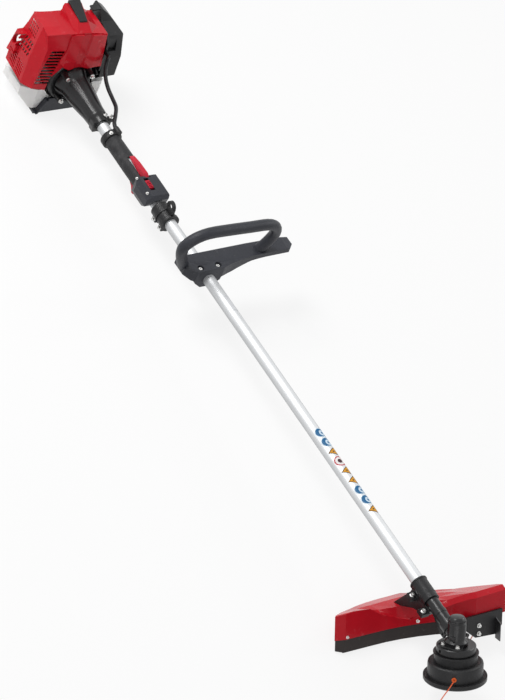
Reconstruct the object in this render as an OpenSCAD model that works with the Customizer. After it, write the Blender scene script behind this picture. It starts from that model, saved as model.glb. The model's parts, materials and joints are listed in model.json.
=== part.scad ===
// Petrol string trimmer with a straight shaft, lying at rest on its engine stand and its guard.
// The parts are placed from the point where the shaft axis meets the head axis: +X runs forward
// along the shaft, +Y to the operator's left, +Z up. A station is a distance back along the shaft.
// rest() lays the finished machine down, with the ground at z = 0.

/* [Shaft] */
// Outside diameter of the shaft tube
tube_d = 28; // [26:0.5:30]
// Wall of the shaft tube
tube_wall = 1.5; // [1.2:0.1:2]
// Length of the shaft tube
tube_len = 1485; // [1300:5:1600]
// Diameter of the steel drive shaft
drive_d = 8; // [7:0.5:9]
// Number of bushes that carry the drive shaft
bush_count = 5; // [3:1:8]
// Running clearance of a shaft in its bush, on the radius
run_gap = 0.05; // [0.02:0.01:0.1]

/* [Gear head] */
// Outside diameter of the gear housing round the head axis
gearbox_d = 38; // [37:0.5:42]
// Height of the gear housing above the shaft axis
gearbox_up = 45; // [43:1:50]
// Teeth of the pinion on the drive shaft
pinion_teeth = 13; // [11:1:14]
// Teeth of the gear on the output shaft
gear_teeth = 19; // [18:1:22]
// Diameter of the output shaft
output_d = 10; // [8:0.5:10]

/* [Cutting head] */
// Diameter of the line drum
drum_d = 115; // [105:1:125]
// Height of the line drum
drum_h = 31; // [29:1:36]
// Diameter of the base flange
flange_d = 132; // [128:1:140]
// Wall of the moulded head parts
head_wall = 3; // [2:0.5:3.5]
// Diameter of the bump knob
knob_d = 58; // [46:1:66]
// Travel of the bump knob
bump_travel = 6; // [4:0.5:6]
// Diameter of the trimmer line
line_d = 2.4; // [2:0.1:3]

/* [Guard] */
// Radius of the guard's rear edge about the head axis
guard_r = 250; // [242:1:270]
// Wall of the guard shell
guard_wall = 3; // [2:0.5:4]
// Height of the guard's front wall
guard_h = 58; // [54:1:66]
// Depth of the dark skirt below the front wall
skirt_drop = 30; // [22:1:31]
// Thickness of the skirt
skirt_t = 3; // [2:0.5:4]
// Diameter of the collar that clamps the guard
collar_d = 36; // [34:0.5:40]
// Length of that collar
collar_len = 54; // [48:1:60]

/* [Handles] */
// From the loop handle back to the carrying eye
loop_ahead = 160; // [110:5:340]
// Thickness of the loop's grip
loop_rod_d = 26; // [22:0.5:28]
// Height of the loop over the shaft axis
loop_h = 132; // [115:1:150]
// Reach of the barrier bar to the left
bar_reach = 233; // [205:1:260]
// Depth of the barrier bar along the shaft
bar_depth = 40; // [34:1:46]
// Diameter of the rear grip
grip_d = 39; // [37:0.5:42]
// From the carrying eye back to the throttle housing
eye_ahead = 38; // [34:1:63]
// Bore of the carrying eye
eye_bore = 16; // [12:0.5:18]

/* [Engine] */
// Diameter of the fan housing
fan_housing_d = 116; // [112:1:122]
// Wall of the engine cover
cover_wall = 2.5; // [2:0.25:3]
// Number of slots in the cover's front
slot_count = 11; // [7:1:12]
// Width of the fuel tank
tank_w = 210; // [180:1:220]
// Wall of the fuel tank
tank_wall = 3; // [2:0.5:4]
// Number of cooling fins on the cylinder
fin_count = 9; // [5:1:10]
// Width of the stand's sole
stand_w = 152; // [130:1:160]

/* [Hidden] */

$fn = 72;
head_tilt = 30;                         // rise of the shaft over the cutting plane
neck_end = 104;                         // station where the tube starts
tube_rear = neck_end + tube_len;        // station where the tube ends
tube_r = tube_d / 2;
tube_in = tube_r - tube_wall;
// the controls keep their distance from the engine, and the handles from the controls
ring_s1 = tube_rear - 76;
ring_s0 = ring_s1 - 17;
grip_s0 = ring_s0 - 144;
grip_r = grip_d / 2;
housing_s0 = grip_s0 - 74;
eye_station = housing_s0 - eye_ahead;
loop_station = eye_station - loop_ahead;
cutter_black = [0.10, 0.10, 0.11];
graphite = [0.24, 0.25, 0.27];
red = [0.78, 0.09, 0.12];
steel = [0.62, 0.63, 0.65];
aluminium = [0.85, 0.86, 0.87];
eps = 0.01;

// Resting place: the ground touches the guard's rear edge and the stand's sole.
guard_edge_z = -16;                     // lower rim of the guard in the head frame
stand_drop = 90;                        // depth of the stand's sole under the shaft axis
engine_s = tube_rear + 111;             // station of the engine's front face
stand_s = engine_s + 12;
function head_x(x, z) = x * cos(head_tilt) - z * sin(head_tilt);
function head_z(x, z) = x * sin(head_tilt) + z * cos(head_tilt);
guard_low_s = -head_x(-guard_r, guard_edge_z);
guard_low = -head_z(-guard_r, guard_edge_z);
lie_tilt = atan((guard_low - stand_drop) / (stand_s - guard_low_s));
ground_z = -(guard_low + guard_low_s * tan(lie_tilt));   // ground under the head axis, shaft frame
front_x = head_x(flange_d / 2, -93);            // the machine reaches from here to the starter
rest_x = (engine_s + 138 - front_x) / 2;
guard_end = 225.6;                      // where the guard's rear arc ends on the left
rest_y = -(bar_reach + guard_r * sin(guard_end)) / 2;

module rest() translate([rest_x, rest_y, -ground_z * cos(lie_tilt)])
    rotate([0, -lie_tilt, 0]) children();
module head() rotate([0, -head_tilt, 0]) children();      // +Z up along the head axis
module along() rotate([0, -90, 0]) children();            // +Z back along the shaft, +X up
module at(s, y = 0, z = 0) translate([-s, y, z]) children();
module turned(points) along() rotate_extrude() polygon([for (p = points) [p[1], p[0]]]);
module ring(s0, s1, r_out, r_in) along() translate([0, 0, s0]) difference() {
    cylinder(h = s1 - s0, r = r_out);
    translate([0, 0, -1]) cylinder(h = s1 - s0 + 2, r = r_in);
}
module rod(s0, s1, r) along() translate([0, 0, s0]) cylinder(h = s1 - s0, r = r);
module block(s0, s1, y0, y1, z0, z1) translate([-s1, y0, z0]) cube([s1 - s0, y1 - y0, z1 - z0]);
module side(y0, y1, points)             // outline in [station, z], between two values of y
    translate([0, y1, 0]) rotate([90, 0, 0]) linear_extrude(y1 - y0)
    polygon([for (p = points) [-p[0], p[1]]]);
module front(s0, s1, points)            // outline in [y, z], between two stations
    along() translate([0, 0, s0]) linear_extrude(s1 - s0) polygon([for (p = points) [p[1], p[0]]]);
module plan(z0, z1, points)             // outline in [station, y], between two heights
    translate([0, 0, z0]) linear_extrude(z1 - z0) polygon([for (p = points) [-p[0], p[1]]]);
module across(s, z, y0, y1, r) at(s, y0, z) rotate([-90, 0, 0]) cylinder(h = y1 - y0, r = r);
module upright(s, y, z0, z1, r) at(s, y, z0) cylinder(h = z1 - z0, r = r);
module disc(z0, z1, r) translate([0, 0, z0]) cylinder(h = z1 - z0, r = r);
module head_turned(points) rotate_extrude($fn = 96) polygon(points);
function arc(cx, cy, r, a0, a1, n) = [for (i = [0:n]) let (a = a0 + (a1 - a0) * i / n)
    [cx + r * cos(a), cy + r * sin(a)]];

// ---------------------------------------------------------------- shaft and drive
module shaft_tube() rest() color(aluminium) ring(neck_end, tube_rear, tube_r, tube_in);

bush_len = 24;
bush_first = neck_end + 60;
bush_pitch = (tube_len - 140) / (bush_count - 1);
module shaft_bushes() rest() color("dimgray") for (i = [0:bush_count - 1])
    let (s = bush_first + i * bush_pitch)
        ring(s, s + bush_len, tube_in, drive_d / 2 + run_gap);

// bevel gears: every tooth line runs to the point where the axes meet
cone_dist = 24;
face_w = 8;
ratio = gear_teeth / pinion_teeth;
pinion_cone = atan(sin(60) / (cos(60) + ratio));
gear_cone = 60 - pinion_cone;
tooth_up = atan(1.35 / cone_dist);
tooth_down = atan(1.9 / cone_dist);
module bevel_gear(teeth, cone) {
    h = cone_dist * cos(cone);
    tip = h * tan(cone + tooth_up);
    root = h * tan(cone - tooth_down);
    step = 360 / teeth;
    module outline() polygon([for (i = [0:teeth - 1]) for (p = [[root, -0.36], [tip, -0.12],
        [tip, 0.12], [root, 0.36]]) p[0] * [cos((i + p[1]) * step), sin((i + p[1]) * step)]]);
    // drawn with its big end at h and shrinking towards the cone's point
    translate([0, 0, h]) mirror([0, 0, 1])
        linear_extrude(face_w * cos(cone), scale = (cone_dist - face_w) / cone_dist) outline();
}
pinion_back = cone_dist * cos(pinion_cone);
gear_back = cone_dist * cos(gear_cone);
drum_s = tube_rear + 73;                // station of the clutch drum's front
module drive_shaft() rest() color(steel) union() {
    rod(pinion_back, drum_s, drive_d / 2);
    along() bevel_gear(pinion_teeth, pinion_cone);
}
drum_r = 27;
module clutch_drum() rest() color(steel) turned([[drum_s, 0], [drum_s, drum_r],
    [drum_s + 22, drum_r], [drum_s + 22, drum_r - 2.5], [drum_s + 3, drum_r - 2.5], [drum_s + 3, 0]]);

// ---------------------------------------------------------------- gear head
box_r = gearbox_d / 2;
box_in = box_r - 2.5;
bearing_r = 11;                         // outside radius of the gearbox bearings
cup_top = -15;
module gear_housing() rest() color(cutter_black) difference() {
    union() {
        rod(8, neck_end, tube_r);
        ring(60, 68, tube_r + 1, 10);
        ring(22, 40, tube_r + 2.5, 10);
        head() head_turned([[0, cup_top + 4], [24, cup_top + 4], [24, cup_top + 7],
            [box_r, cup_top + 12], [box_r, gearbox_up - 13], [box_r - 1, gearbox_up - 12],
            [box_r - 1, gearbox_up - 5], [box_r - 5, gearbox_up], [0, gearbox_up + 1]]);
        // clamping ears under the neck
        for (y = [-9, 3]) side(y, y + 6, [[18, -8], [66, -8], [64, -15], [34, -27], [22, -27]]);
        for (y = [-1, 1]) head() translate([0, y * (box_r - 1), 4]) rotate([0, 90, 0])
            cylinder(h = 14, r = 4);
    }
    head() disc(-8, gearbox_up - 8, box_in);
    head() disc(cup_top, -8 + eps, bearing_r);
    rod(0, 28, 12.5);
    rod(28 - eps, 58, bearing_r);
    rod(58 - eps, neck_end + 1, drive_d / 2 + 3);
    across(28, -21, -12, 12, 2.6);
}
module bearing(h, r_in) difference() {
    cylinder(h = h, r = bearing_r);
    translate([0, 0, -1]) cylinder(h = h + 2, r = r_in + run_gap);
}
module gearbox_bearings() rest() color(steel) {
    for (s = [29, 50]) along() translate([0, 0, s]) bearing(7, drive_d / 2);
    head() translate([0, 0, cup_top]) bearing(7, output_d / 2);
    head() translate([0, 0, gearbox_up - 15]) difference() {
        cylinder(h = 7, r = box_in);
        translate([0, 0, -1]) cylinder(h = 9, r = output_d / 2 + run_gap);
    }
}
module output_shaft() rest() color(steel) head() difference() {
    union() {
        disc(-84, gearbox_up - 8.5, output_d / 2);
        rotate([0, 0, 180 / gear_teeth + 180]) bevel_gear(gear_teeth, gear_cone);
    }
    disc(-85, -60, 2.5);
}

plate_t = 4;
module holder_plate() rest() color(cutter_black) head() difference() {
    translate([0, 0, cup_top]) linear_extrude(plate_t) difference() {
        hull() for (p = [[26, -18], [-6, -30], [-10, 28]]) translate(p) circle(9, $fn = 32);
        circle(bearing_r);
    }
    for (p = [[26, -18], [-6, -30], [-10, 28]]) translate([p[0], p[1], cup_top - 1])
        cylinder(h = plate_t + 2, r = 2.2);
}
cup_r = 41;
cup_h = 15;
module shaft_cup() rest() color(cutter_black) head() difference() {
    head_turned([[bearing_r + 1, cup_top], [cup_r - 2, cup_top], [cup_r, cup_top - 2],
        [cup_r, cup_top - cup_h], [cup_r - head_wall, cup_top - cup_h],
        [cup_r - head_wall, cup_top - head_wall], [bearing_r + 1, cup_top - head_wall]]);
    rotate([0, 0, -93]) translate([cup_r - 8, -3, cup_top - 11]) cube([10, 6, 6]);
}

// ---------------------------------------------------------------- cutting head
hub_top = cup_top - cup_h - 1;          // ring over the hub
drum_top = -51;
drum_low = drum_top - drum_h;
flange_low = drum_low - 11;
drum_r_out = drum_d / 2;
flange_r = flange_d / 2;
hub_r = 45;
module head_hub() rest() color(cutter_black) head() difference() {
    union() {
        head_turned([[12, hub_top - 3], [hub_r + 2, hub_top - 3], [hub_r + 2, hub_top],
            [hub_r - 1, hub_top], [12, hub_top]]);
        head_turned([[hub_r - head_wall, drum_top], [hub_r, drum_top], [hub_r, hub_top - 3],
            [hub_r - head_wall, hub_top - 3]]);
        disc(drum_top - 4, cup_top - head_wall - 2, 14);
    }
    disc(-90, 0, output_d / 2);
}
eyelet_turn = -41;                      // direction of the front eyelet about the head axis
eyelet_z = drum_low + 12;
eyelet_r = 5;
module eyelet_cut(r) for (a = [0, 180]) rotate([0, 0, eyelet_turn + a])
    translate([drum_r_out - 9, 0, eyelet_z]) rotate([0, 90, 0]) cylinder(h = 12, r = r);
module head_drum() rest() color(cutter_black) head() difference() {
    head_turned([[14, drum_top - 4], [hub_r - head_wall, drum_top - 4], [hub_r - head_wall, drum_top],
        [drum_r_out - 5, drum_top], [drum_r_out - 1, drum_top - 2],
        [drum_r_out, drum_top - 6], [drum_r_out, drum_low],
        [drum_r_out - head_wall, drum_low], [drum_r_out - head_wall, drum_top - 7],
        [14, drum_top - 7]]);
    eyelet_cut(eyelet_r - 1);
}
module line_eyelets() rest() color(steel) head() for (a = [0, 180])
    rotate([0, 0, eyelet_turn + a]) translate([drum_r_out - head_wall - 1.5, 0, eyelet_z])
    rotate([0, 90, 0]) difference() {
        union() {
            cylinder(h = head_wall + 3, r = eyelet_r - 1);
            translate([0, 0, head_wall + 1.8]) cylinder(h = 1.6, r = eyelet_r);
        }
        translate([0, 0, -1]) cylinder(h = 8, r = line_d / 2 + 0.9);
    }
knob_r = knob_d / 2;
module head_cover() rest() color(cutter_black) head() head_turned([[drum_r_out - head_wall, drum_low],
    [flange_r, drum_low], [flange_r, flange_low + 3], [flange_r - 3, flange_low],
    [knob_r + 1, flange_low], [knob_r + 1, flange_low + head_wall],
    [drum_r_out - head_wall, flange_low + head_wall]]);
spool_low = flange_low + head_wall + 1.5;
spool_top = drum_top - 7 - bump_travel - 1;
spool_core = 38;
module line_spool() rest() color("darkorange") head() difference() {
    head_turned([[14, spool_low], [50, spool_low], [50, spool_low + 2], [spool_core, spool_low + 2],
        [spool_core, spool_low + 6], [50, spool_low + 6], [50, spool_top - 2],
        [spool_core, spool_top - 2], [spool_core, spool_top], [14, spool_top]]);
    disc(-110, 0, 12);
}
spring_top = drum_top - 4 - bump_travel - 0.3;
module bump_spring() rest() color(steel) head() head_turned([[7.5, spool_low + 4], [10.5, spool_low + 4],
    [10.5, spring_top], [7.5, spring_top]]);
module bump_knob() rest() color(cutter_black) head() head_turned([[0, flange_low - 12],
    [knob_r - 8, flange_low - 12], [knob_r - 2, flange_low - 9], [knob_r, flange_low - 3],
    [knob_r, spool_low], [14, spool_low], [14, spool_low + 4], [7, spool_low + 4], [7, flange_low - 4],
    [0, flange_low - 4]]);

// free trimmer lines: swept tubes along hand-chosen points, in the head frame
line_route_front = [[42, -36.5, 0], [49, -43, 0], [58, -55, -0.2], [68, -69, -0.5], [79, -85, -1],
    [91, -103, -1.7], [104, -122, -2.5], [116, -141, -3.4], [127, -160, -4.4]];
line_route_rear = [[-42, 36.5, 0], [-49, 44, 0], [-58, 58, -0.1], [-68, 75, -0.3], [-79, 92, -0.6],
    [-92, 109, -1], [-106, 127, -1.5], [-118, 141, -2], [-129, 152, -2.5]];
function mix4(a, b, c, d, t) = 0.5 * ((2 * b) + (c - a) * t + (2 * a - 5 * b + 4 * c - d) * t * t
    + (3 * b - a - 3 * c + d) * t * t * t);
function smooth(p, n) = let (m = len(p) - 1) [for (i = [0:m - 1]) for (j = [0:n - 1])
    mix4(p[max(i - 1, 0)], p[i], p[i + 1], p[min(i + 2, m)], j / n), p[m]];
function unit(v) = v / norm(v);
module sweep(path, r, sides) {
    m = len(path) - 1;
    rings = [for (i = [0:m]) let (t = unit(path[min(i + 1, m)] - path[max(i - 1, 0)]),
        u = unit(cross(t, [0.05, 0.02, 1])), v = cross(u, t))
        for (k = [0:sides - 1]) path[i] + r * (cos(360 * k / sides) * u + sin(360 * k / sides) * v)];
    polyhedron(rings, concat([[for (k = [sides - 1:-1:0]) k]],
        [for (i = [0:m - 1]) for (k = [0:sides - 1]) let (a = i * sides + k,
            b = i * sides + (k + 1) % sides) [a, b, b + sides, a + sides]],
        [[for (k = [0:sides - 1]) m * sides + k]]), convexity = 6);
}
module trimmer_line(route) rest() color([0.93, 0.43, 0.22]) head() translate([0, 0, eyelet_z])
    sweep(smooth(route, 3), line_d / 2, 8);
module line_front() trimmer_line(line_route_front);
module line_rear() trimmer_line(line_route_rear);

// ---------------------------------------------------------------- guard
collar_s = 98;
collar_r = collar_d / 2;
module guard_collar() rest() color(cutter_black) difference() {
    turned([[collar_s, tube_r], [collar_s, collar_r], [collar_s + collar_len - 5, collar_r],
        [collar_s + collar_len - 4, collar_r + 1.5], [collar_s + collar_len - 1, collar_r + 1.5],
        [collar_s + collar_len, collar_r], [collar_s + collar_len, tube_r]]);
}
wall_top = 26;
wall_low = wall_top - guard_h;
roof_low = -3;                          // height of the roof over the rear edge
seat_x0 = -166;
seat_x1 = -192;
seat_z = 12;                             // flat seat for the bracket, in the head frame
function guard_plan(t) = concat([[-169 - t, -155], [-167 - t, -87]],
    [for (a = [175:-5:150]) [258 + (425 + t) * cos(a), -87 + (425 + t) * sin(a)]],
    [[-105 - t, 135], [-105 - t, 215 - t]],
    arc(0, 0, guard_r - t, 122 + t * 0.25, guard_end - t * 0.66, 24));
module guard_plan_solid(t, z0, z1) translate([0, 0, z0]) linear_extrude(z1 - z0)
    polygon(guard_plan(t));
module x_profile(y0, y1, points)        // outline in [x, z] of the head frame
    translate([0, y1, 0]) rotate([90, 0, 0]) linear_extrude(y1 - y0) polygon(points);
module y_profile(x0, x1, points)        // outline in [y, z] of the head frame
    rotate([90, 0, 90]) translate([0, 0, x0]) linear_extrude(x1 - x0) polygon(points);
// The roof in cuts across the head axis, from left to right. Each is [y, x of the front edge, its
// height, x and height of the ledge behind it, x and height of two more creases, height behind].
guard_cuts = [
    [-215, -172, wall_top - 8, -181, wall_top - 11, -190, wall_top - 14, -215, 3, -10],
    [-179, -171, wall_top - 3, -181, wall_top - 4, -190, wall_top - 8, -215, 8, roof_low - 6],
    [-136, -168, wall_top + 2, -178, wall_top - 2, -190, wall_top - 7, -215, 9, roof_low - 6],
    [-95, -167, wall_top - 2, -175, wall_top - 5, -188, wall_top - 11, -213, 8, roof_low - 6],
    [-66, -166.5, 5, -170, 6, -176, seat_z, -207, seat_z - 1, roof_low - 6],
    [-26, -162.6, -11, -164, -10, -169, seat_z, seat_x1 - 14, seat_z, roof_low - 6],
    [4, -156.6, -20, -160, -18, -168, seat_z, seat_x1 - 14, seat_z, roof_low - 6],
    [44, -145.6, -13, -156, -6, -169, seat_z, seat_x1 - 14, seat_z, roof_low - 5],
    [85, -130.6, 2, -141, 11, -170, 8, -206, 4, roof_low - 4],
    [126, -109.8, wall_top - 10, -120, wall_top - 1, -160, 14, -204, 1, roof_low - 4],
    [140, -105, wall_top - 9, -116, wall_top, -152, 15, -200, 1, roof_low - 5],
    [230, -105, wall_top - 7, -116, wall_top + 1, -150, 16, -200, 1, roof_low - 8]];
// the rim rises evenly from the front wall's foot to the rear edge
guard_back_z = wall_low + (guard_edge_z - wall_low) * (270 - 168) / (guard_r - 168);
module guard_roof(t) loft([for (i = [len(guard_cuts) - 1:-1:0]) let (c = guard_cuts[i])
    [[-c[1] - 12, c[0], c[2], 0, 0, -1], [-c[1], c[0], c[2], 0, 0, -1], [-c[3], c[0], c[4], 0, 0, -1],
    [-c[5], c[0], c[6], 0, 0, -1], [-c[7], c[0], c[8], 0, 0, -1], [270, c[0], c[9], 0, 0, -1],
    [270, c[0], guard_back_z, 0, 0, -30], [168, c[0], wall_low, 0, 0, -30],
    [-c[1] - 12, c[0], wall_low, 0, 0, -30]]], [[7, 8, 0, 1, 2, 3, 4, 5, 6]], t);
module guard_shell() rest() color(red) head() difference() {
    intersection() {
        guard_plan_solid(0, -60, 60);
        guard_roof(0);
    }
    intersection() {
        guard_plan_solid(guard_wall, -80, 60);
        guard_roof(guard_wall);
    }
}
skirt_low = wall_low - skirt_drop;
module guard_skirt() rest() color([0.17, 0.15, 0.15]) head() intersection() {
    difference() {
        guard_plan_solid(guard_wall, skirt_low, wall_low + 8);
        guard_plan_solid(guard_wall + skirt_t, skirt_low - 1, wall_low + 9);
    }
    y_profile(-174, -90, [[-188, wall_low + 20], [-188, wall_low - 4], [-164, skirt_low],
        [cutter_y0, skirt_low], [cutter_y0, wall_low + 20]]);
}
cutter_y = 186;
cutter_y0 = 107;                        // where the skirt ends and the cutter bracket starts
module cutter_bracket() rest() color(cutter_black) head() difference() {
    translate([-105, 0, 0]) rotate([90, 0, 90]) linear_extrude(6) polygon([[cutter_y0, wall_low + 12],
        [203, wall_low + 12], [203, wall_low - 24], [cutter_y + 1, wall_low - 42],
        [132, wall_low - 38], [cutter_y0 + 3, wall_low - 20]]);
    for (z = [wall_low - 12, wall_low - 30]) translate([-110, 140, z]) rotate([0, 90, 0])
        cylinder(h = 20, r = 2.2);
}
module line_cutter() rest() color(steel) head() x_profile(cutter_y - 1, cutter_y + 1,
    [[-99, wall_low - 4], [-99, wall_low - 50], [-83, wall_low - 53], [-83, wall_low - 12]]);
function to_shaft(x, z) = [-head_x(x, z), head_z(x, z)];
module guard_bracket() rest() color(cutter_black) difference() {
    union() {
        side(-15, 15, [[78, -6], [146, -6], [146, -20], to_shaft(seat_x1, seat_z),
            to_shaft(seat_x0 - 2, seat_z), [120, -44], [84, -28]]);
        // lugs for the clamping screws
        for (s = [88, 132]) block(s - 9, s + 9, -30, -10, -24, -14);
    }
    rod(60, collar_s + eps, tube_r);
    rod(collar_s - eps, 200, collar_r);
    for (s = [88, 132]) upright(s, -23, -30, -10, 2.1);
}
// ---------------------------------------------------------------- loop handle
bar_s0 = loop_station - 34;
bar_s1 = loop_station - 18 + bar_depth;
bar_top = 28;
loop_r = loop_rod_d / 2;
loop_lean = 9;
module loop_plane() at(loop_station, 0, bar_top) rotate([0, loop_lean, 0]) rotate([90, 0, 90])
    children();
loop_top = loop_h - bar_top;
module loop_handle() rest() color(graphite) difference() {
    loop_plane() sweep(smooth([for (p = [[-54, -8], [-66, 14], [-80, 44], [-84, 70], [-66, 94],
        [-34, 106], [20, 105], [80, 101], [126, 98], [152, 84], [163, 58], [156, 26], [142, -4]])
        [p[0], p[1] * loop_top / 105, 0]], 3), loop_r, 20);
    bar_solid();
}
clamp_screw_s = loop_station - 22;
module clamp_screw_bores(z0, z1) for (y = [-23, 23]) upright(clamp_screw_s, y, z0, z1, 2.1);
module clamp_well() for (y = [-23, 23]) upright(clamp_screw_s, y, 15, 60, 7.5);
// barrier bar: flat on top, its front and lower edge sweep up to a thin tip
module bar_solid() intersection() {
    front(bar_s0, bar_s1, concat([[-62, bar_top], [bar_reach - 20, bar_top + 5],
        [bar_reach, bar_top + 2], [bar_reach - 2, bar_top - 7]],
        [for (i = [0:10]) let (t = i / 10) [170 - 140 * t, bar_top - 8 - 34 * t * t]],
        [[-34, -6], [-62, 10]]));
    plan(-40, 80, [[bar_s0, -36], [loop_station - 14, -64], [bar_s1, -66], [bar_s1, 120],
        [bar_s1 - 3, bar_reach], [bar_s1 - 26, bar_reach], [bar_s1 - bar_depth, bar_reach - 14],
        [bar_s1 - bar_depth, 118], [bar_s0 + 8, 60], [bar_s0, 34]]);
}
module barrier_bar() rest() color(graphite) difference() {
    bar_solid();
    rod(bar_s0 - 1, bar_s1 + 1, tube_r);
    block(bar_s0 - 1, bar_s1 + 1, -80, 80, -60, 0);
    clamp_screw_bores(-1, bar_top + 10);
    clamp_well();
}
module handle_clamp() rest() color(graphite) difference() {
    front(bar_s0, bar_s1 - 8, [[-34, 0], [34, 0], [33, -8], [16, -22], [-16, -22], [-33, -8]]);
    rod(bar_s0 - 5, bar_s1, tube_r);
    clamp_screw_bores(-40, 1);
}
eye_z = tube_r + 24;
module carrying_eye() rest() color(cutter_black) difference() {
    union() {
        ring(eye_station - 14, eye_station + 34, tube_r + 7, tube_r);
        ring(eye_station - 17, eye_station - 10, tube_r + 9, tube_r);
        ring(eye_station + 8, eye_station + 14, tube_r + 9, tube_r);
        for (s = [eye_station - 4, eye_station + 24])
            block(s - 7, s + 7, -13, 13, -tube_r - 13, -tube_r);
        block(eye_station - 14, eye_station + 8, -4, 4, tube_r + 3, eye_z);
        across(eye_station, eye_z, -4, 4, eye_bore / 2 + 5);
    }
    across(eye_station, eye_z, -10, 10, eye_bore / 2);
    block(eye_station - 30, eye_station + 40, -1.5, 1.5, -tube_r - 20, -tube_r + 4);
    rod(eye_station - 30, eye_station + 40, tube_r);
}
// ---------------------------------------------------------------- rear grip and controls
pivot_s = grip_s0 + 2;
module rear_grip() rest() color(graphite) difference() {
    turned([[grip_s0, tube_r], [grip_s0, grip_r], [grip_s0 + 60, grip_r + 0.6],
        [ring_s0, grip_r], [ring_s0, tube_r]]);
    block(grip_s0 - 1, grip_s0 + 54, -5.5, 5.5, -grip_r - 1, -tube_r + 2);
    block(grip_s0 - 1, grip_s0 + 72, -7, 7, tube_r - 2, grip_r + 2);
}
module grip_collar() rest() color(cutter_black) difference() {
    union() {
        turned([[ring_s0, tube_r], [ring_s0, 22], [ring_s0 + 2, 24], [ring_s1 - 2, 24],
            [ring_s1, 22], [ring_s1, tube_r]]);
        at(ring_s0, 10, 22) along() cylinder(h = 17, r = 7.5);
    }
    at(ring_s0 + 8, 10, 22) along() cylinder(h = 14, r = conduit_r + 0.35);
    rod(ring_s0 - 1, ring_s1 + 1, tube_r);
}
housing_w = 29;
module housing_body() difference() {
    intersection() {
        side(-housing_w, housing_w, [[housing_s0 + 8, 30], [grip_s0 - 4, 31], [grip_s0 + 5, 22],
            [grip_s0 + 5, -18], [grip_s0 - 10, -24], [housing_s0 + 34, -24], [housing_s0 + 12, -4],
            [housing_s0, 22]]);
        front(0, 3000, [[-housing_w, 14], [-22, 32], [22, 32], [housing_w, 14], [housing_w, -5],
            [18, -26], [-18, -26], [-housing_w, -5]]);
        plan(-60, 60, [[housing_s0, -20], [housing_s0 + 12, -housing_w], [grip_s0 - 10, -housing_w],
            [grip_s0 + 5, -22], [grip_s0 + 5, 22], [grip_s0 - 10, housing_w],
            [housing_s0 + 12, housing_w], [housing_s0, 20]]);
    }
    rod(housing_s0 - 1, grip_s0 + 10, tube_r);
    rod(grip_s0, grip_s0 + 10, grip_r + 0.6);
    block(grip_s0 - 16, grip_s0 + 10, -5.5, 5.5, -40, -tube_r + 2);
    block(grip_s0 - 8, grip_s0 + 10, -7, 7, tube_r - 2, 40);
    // slot of the stop switch
    block(housing_s0 + 26, housing_s0 + 64, -15, -3, 24, 40);
}
module throttle_housing_left() rest() color(graphite) intersection() {
    housing_body();
    block(0, 3000, 0, 100, -100, 100);
}
trigger_pin_z = -20;
module throttle_housing_right() rest() color(graphite) {
    intersection() {
        housing_body();
        block(0, 3000, -100, 0, -100, 100);
    }
    across(grip_s0 - 8, trigger_pin_z, -6, 5.5, 2);
    across(grip_s0 - 3, tube_r + 5, -8, 7, 1.5);
}
module throttle_trigger() rest() color([0.75, 0.18, 0.22]) difference() {
    side(-5, 5, [[grip_s0 - 13, -16], [grip_s0 - 4, -15.5], [grip_s0 + 36, -23], [grip_s0 + 39, -26],
        [grip_s0 + 30, -31], [grip_s0 + 21, -44], [grip_s0 + 14, -43], [grip_s0 + 6, -29],
        [grip_s0 - 6, -27], [grip_s0 - 13, -24]]);
    across(grip_s0 - 8, trigger_pin_z, -10, 10, 2 + run_gap);
}
module lockout_lever() rest() color([0.75, 0.12, 0.17]) difference() {
    side(-6, 6, [[grip_s0 - 7, tube_r + 1.2], [grip_s0 + 4, tube_r + 1.2], [grip_s0 + 66, 23],
        [grip_s0 + 67, 26], [grip_s0 + 40, 30], [grip_s0 + 4, 31], [grip_s0 - 7, 24]]);
    across(grip_s0 - 3, tube_r + 5, -10, 10, 1.5 + run_gap);
}
module stop_switch() rest() color([0.72, 0.1, 0.2]) union() {
    block(housing_s0 + 33, housing_s0 + 57, -14.5, -3.5, 24.1, 31);
    for (s = [35:5:50]) block(housing_s0 + s, housing_s0 + s + 2.5, -13, -5, 31 - eps, 33.5);
}
conduit_r = 4.75;
conduit_route = [[-(ring_s0 + 8), 10, 22], [-(ring_s0 + 13), 10, 22], [-ring_s1, 10, 22.2],
    [-(ring_s1 + 14), 13, 25.5], [-(ring_s1 + 34), 26, 29],
    [-(ring_s1 + 60), 42, 28], [-(ring_s1 + 90), 50, 26], [-(ring_s1 + 120), 54, 29],
    [-(ring_s1 + 148), 61, 34], [-(ring_s1 + 170), 70, 44], [-(engine_s - 9), 74, 58],
    [-(engine_s - 8), 74, 72]];
module throttle_conduit() rest() color(cutter_black) sweep(smooth(conduit_route, 4), conduit_r, 12);

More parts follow.
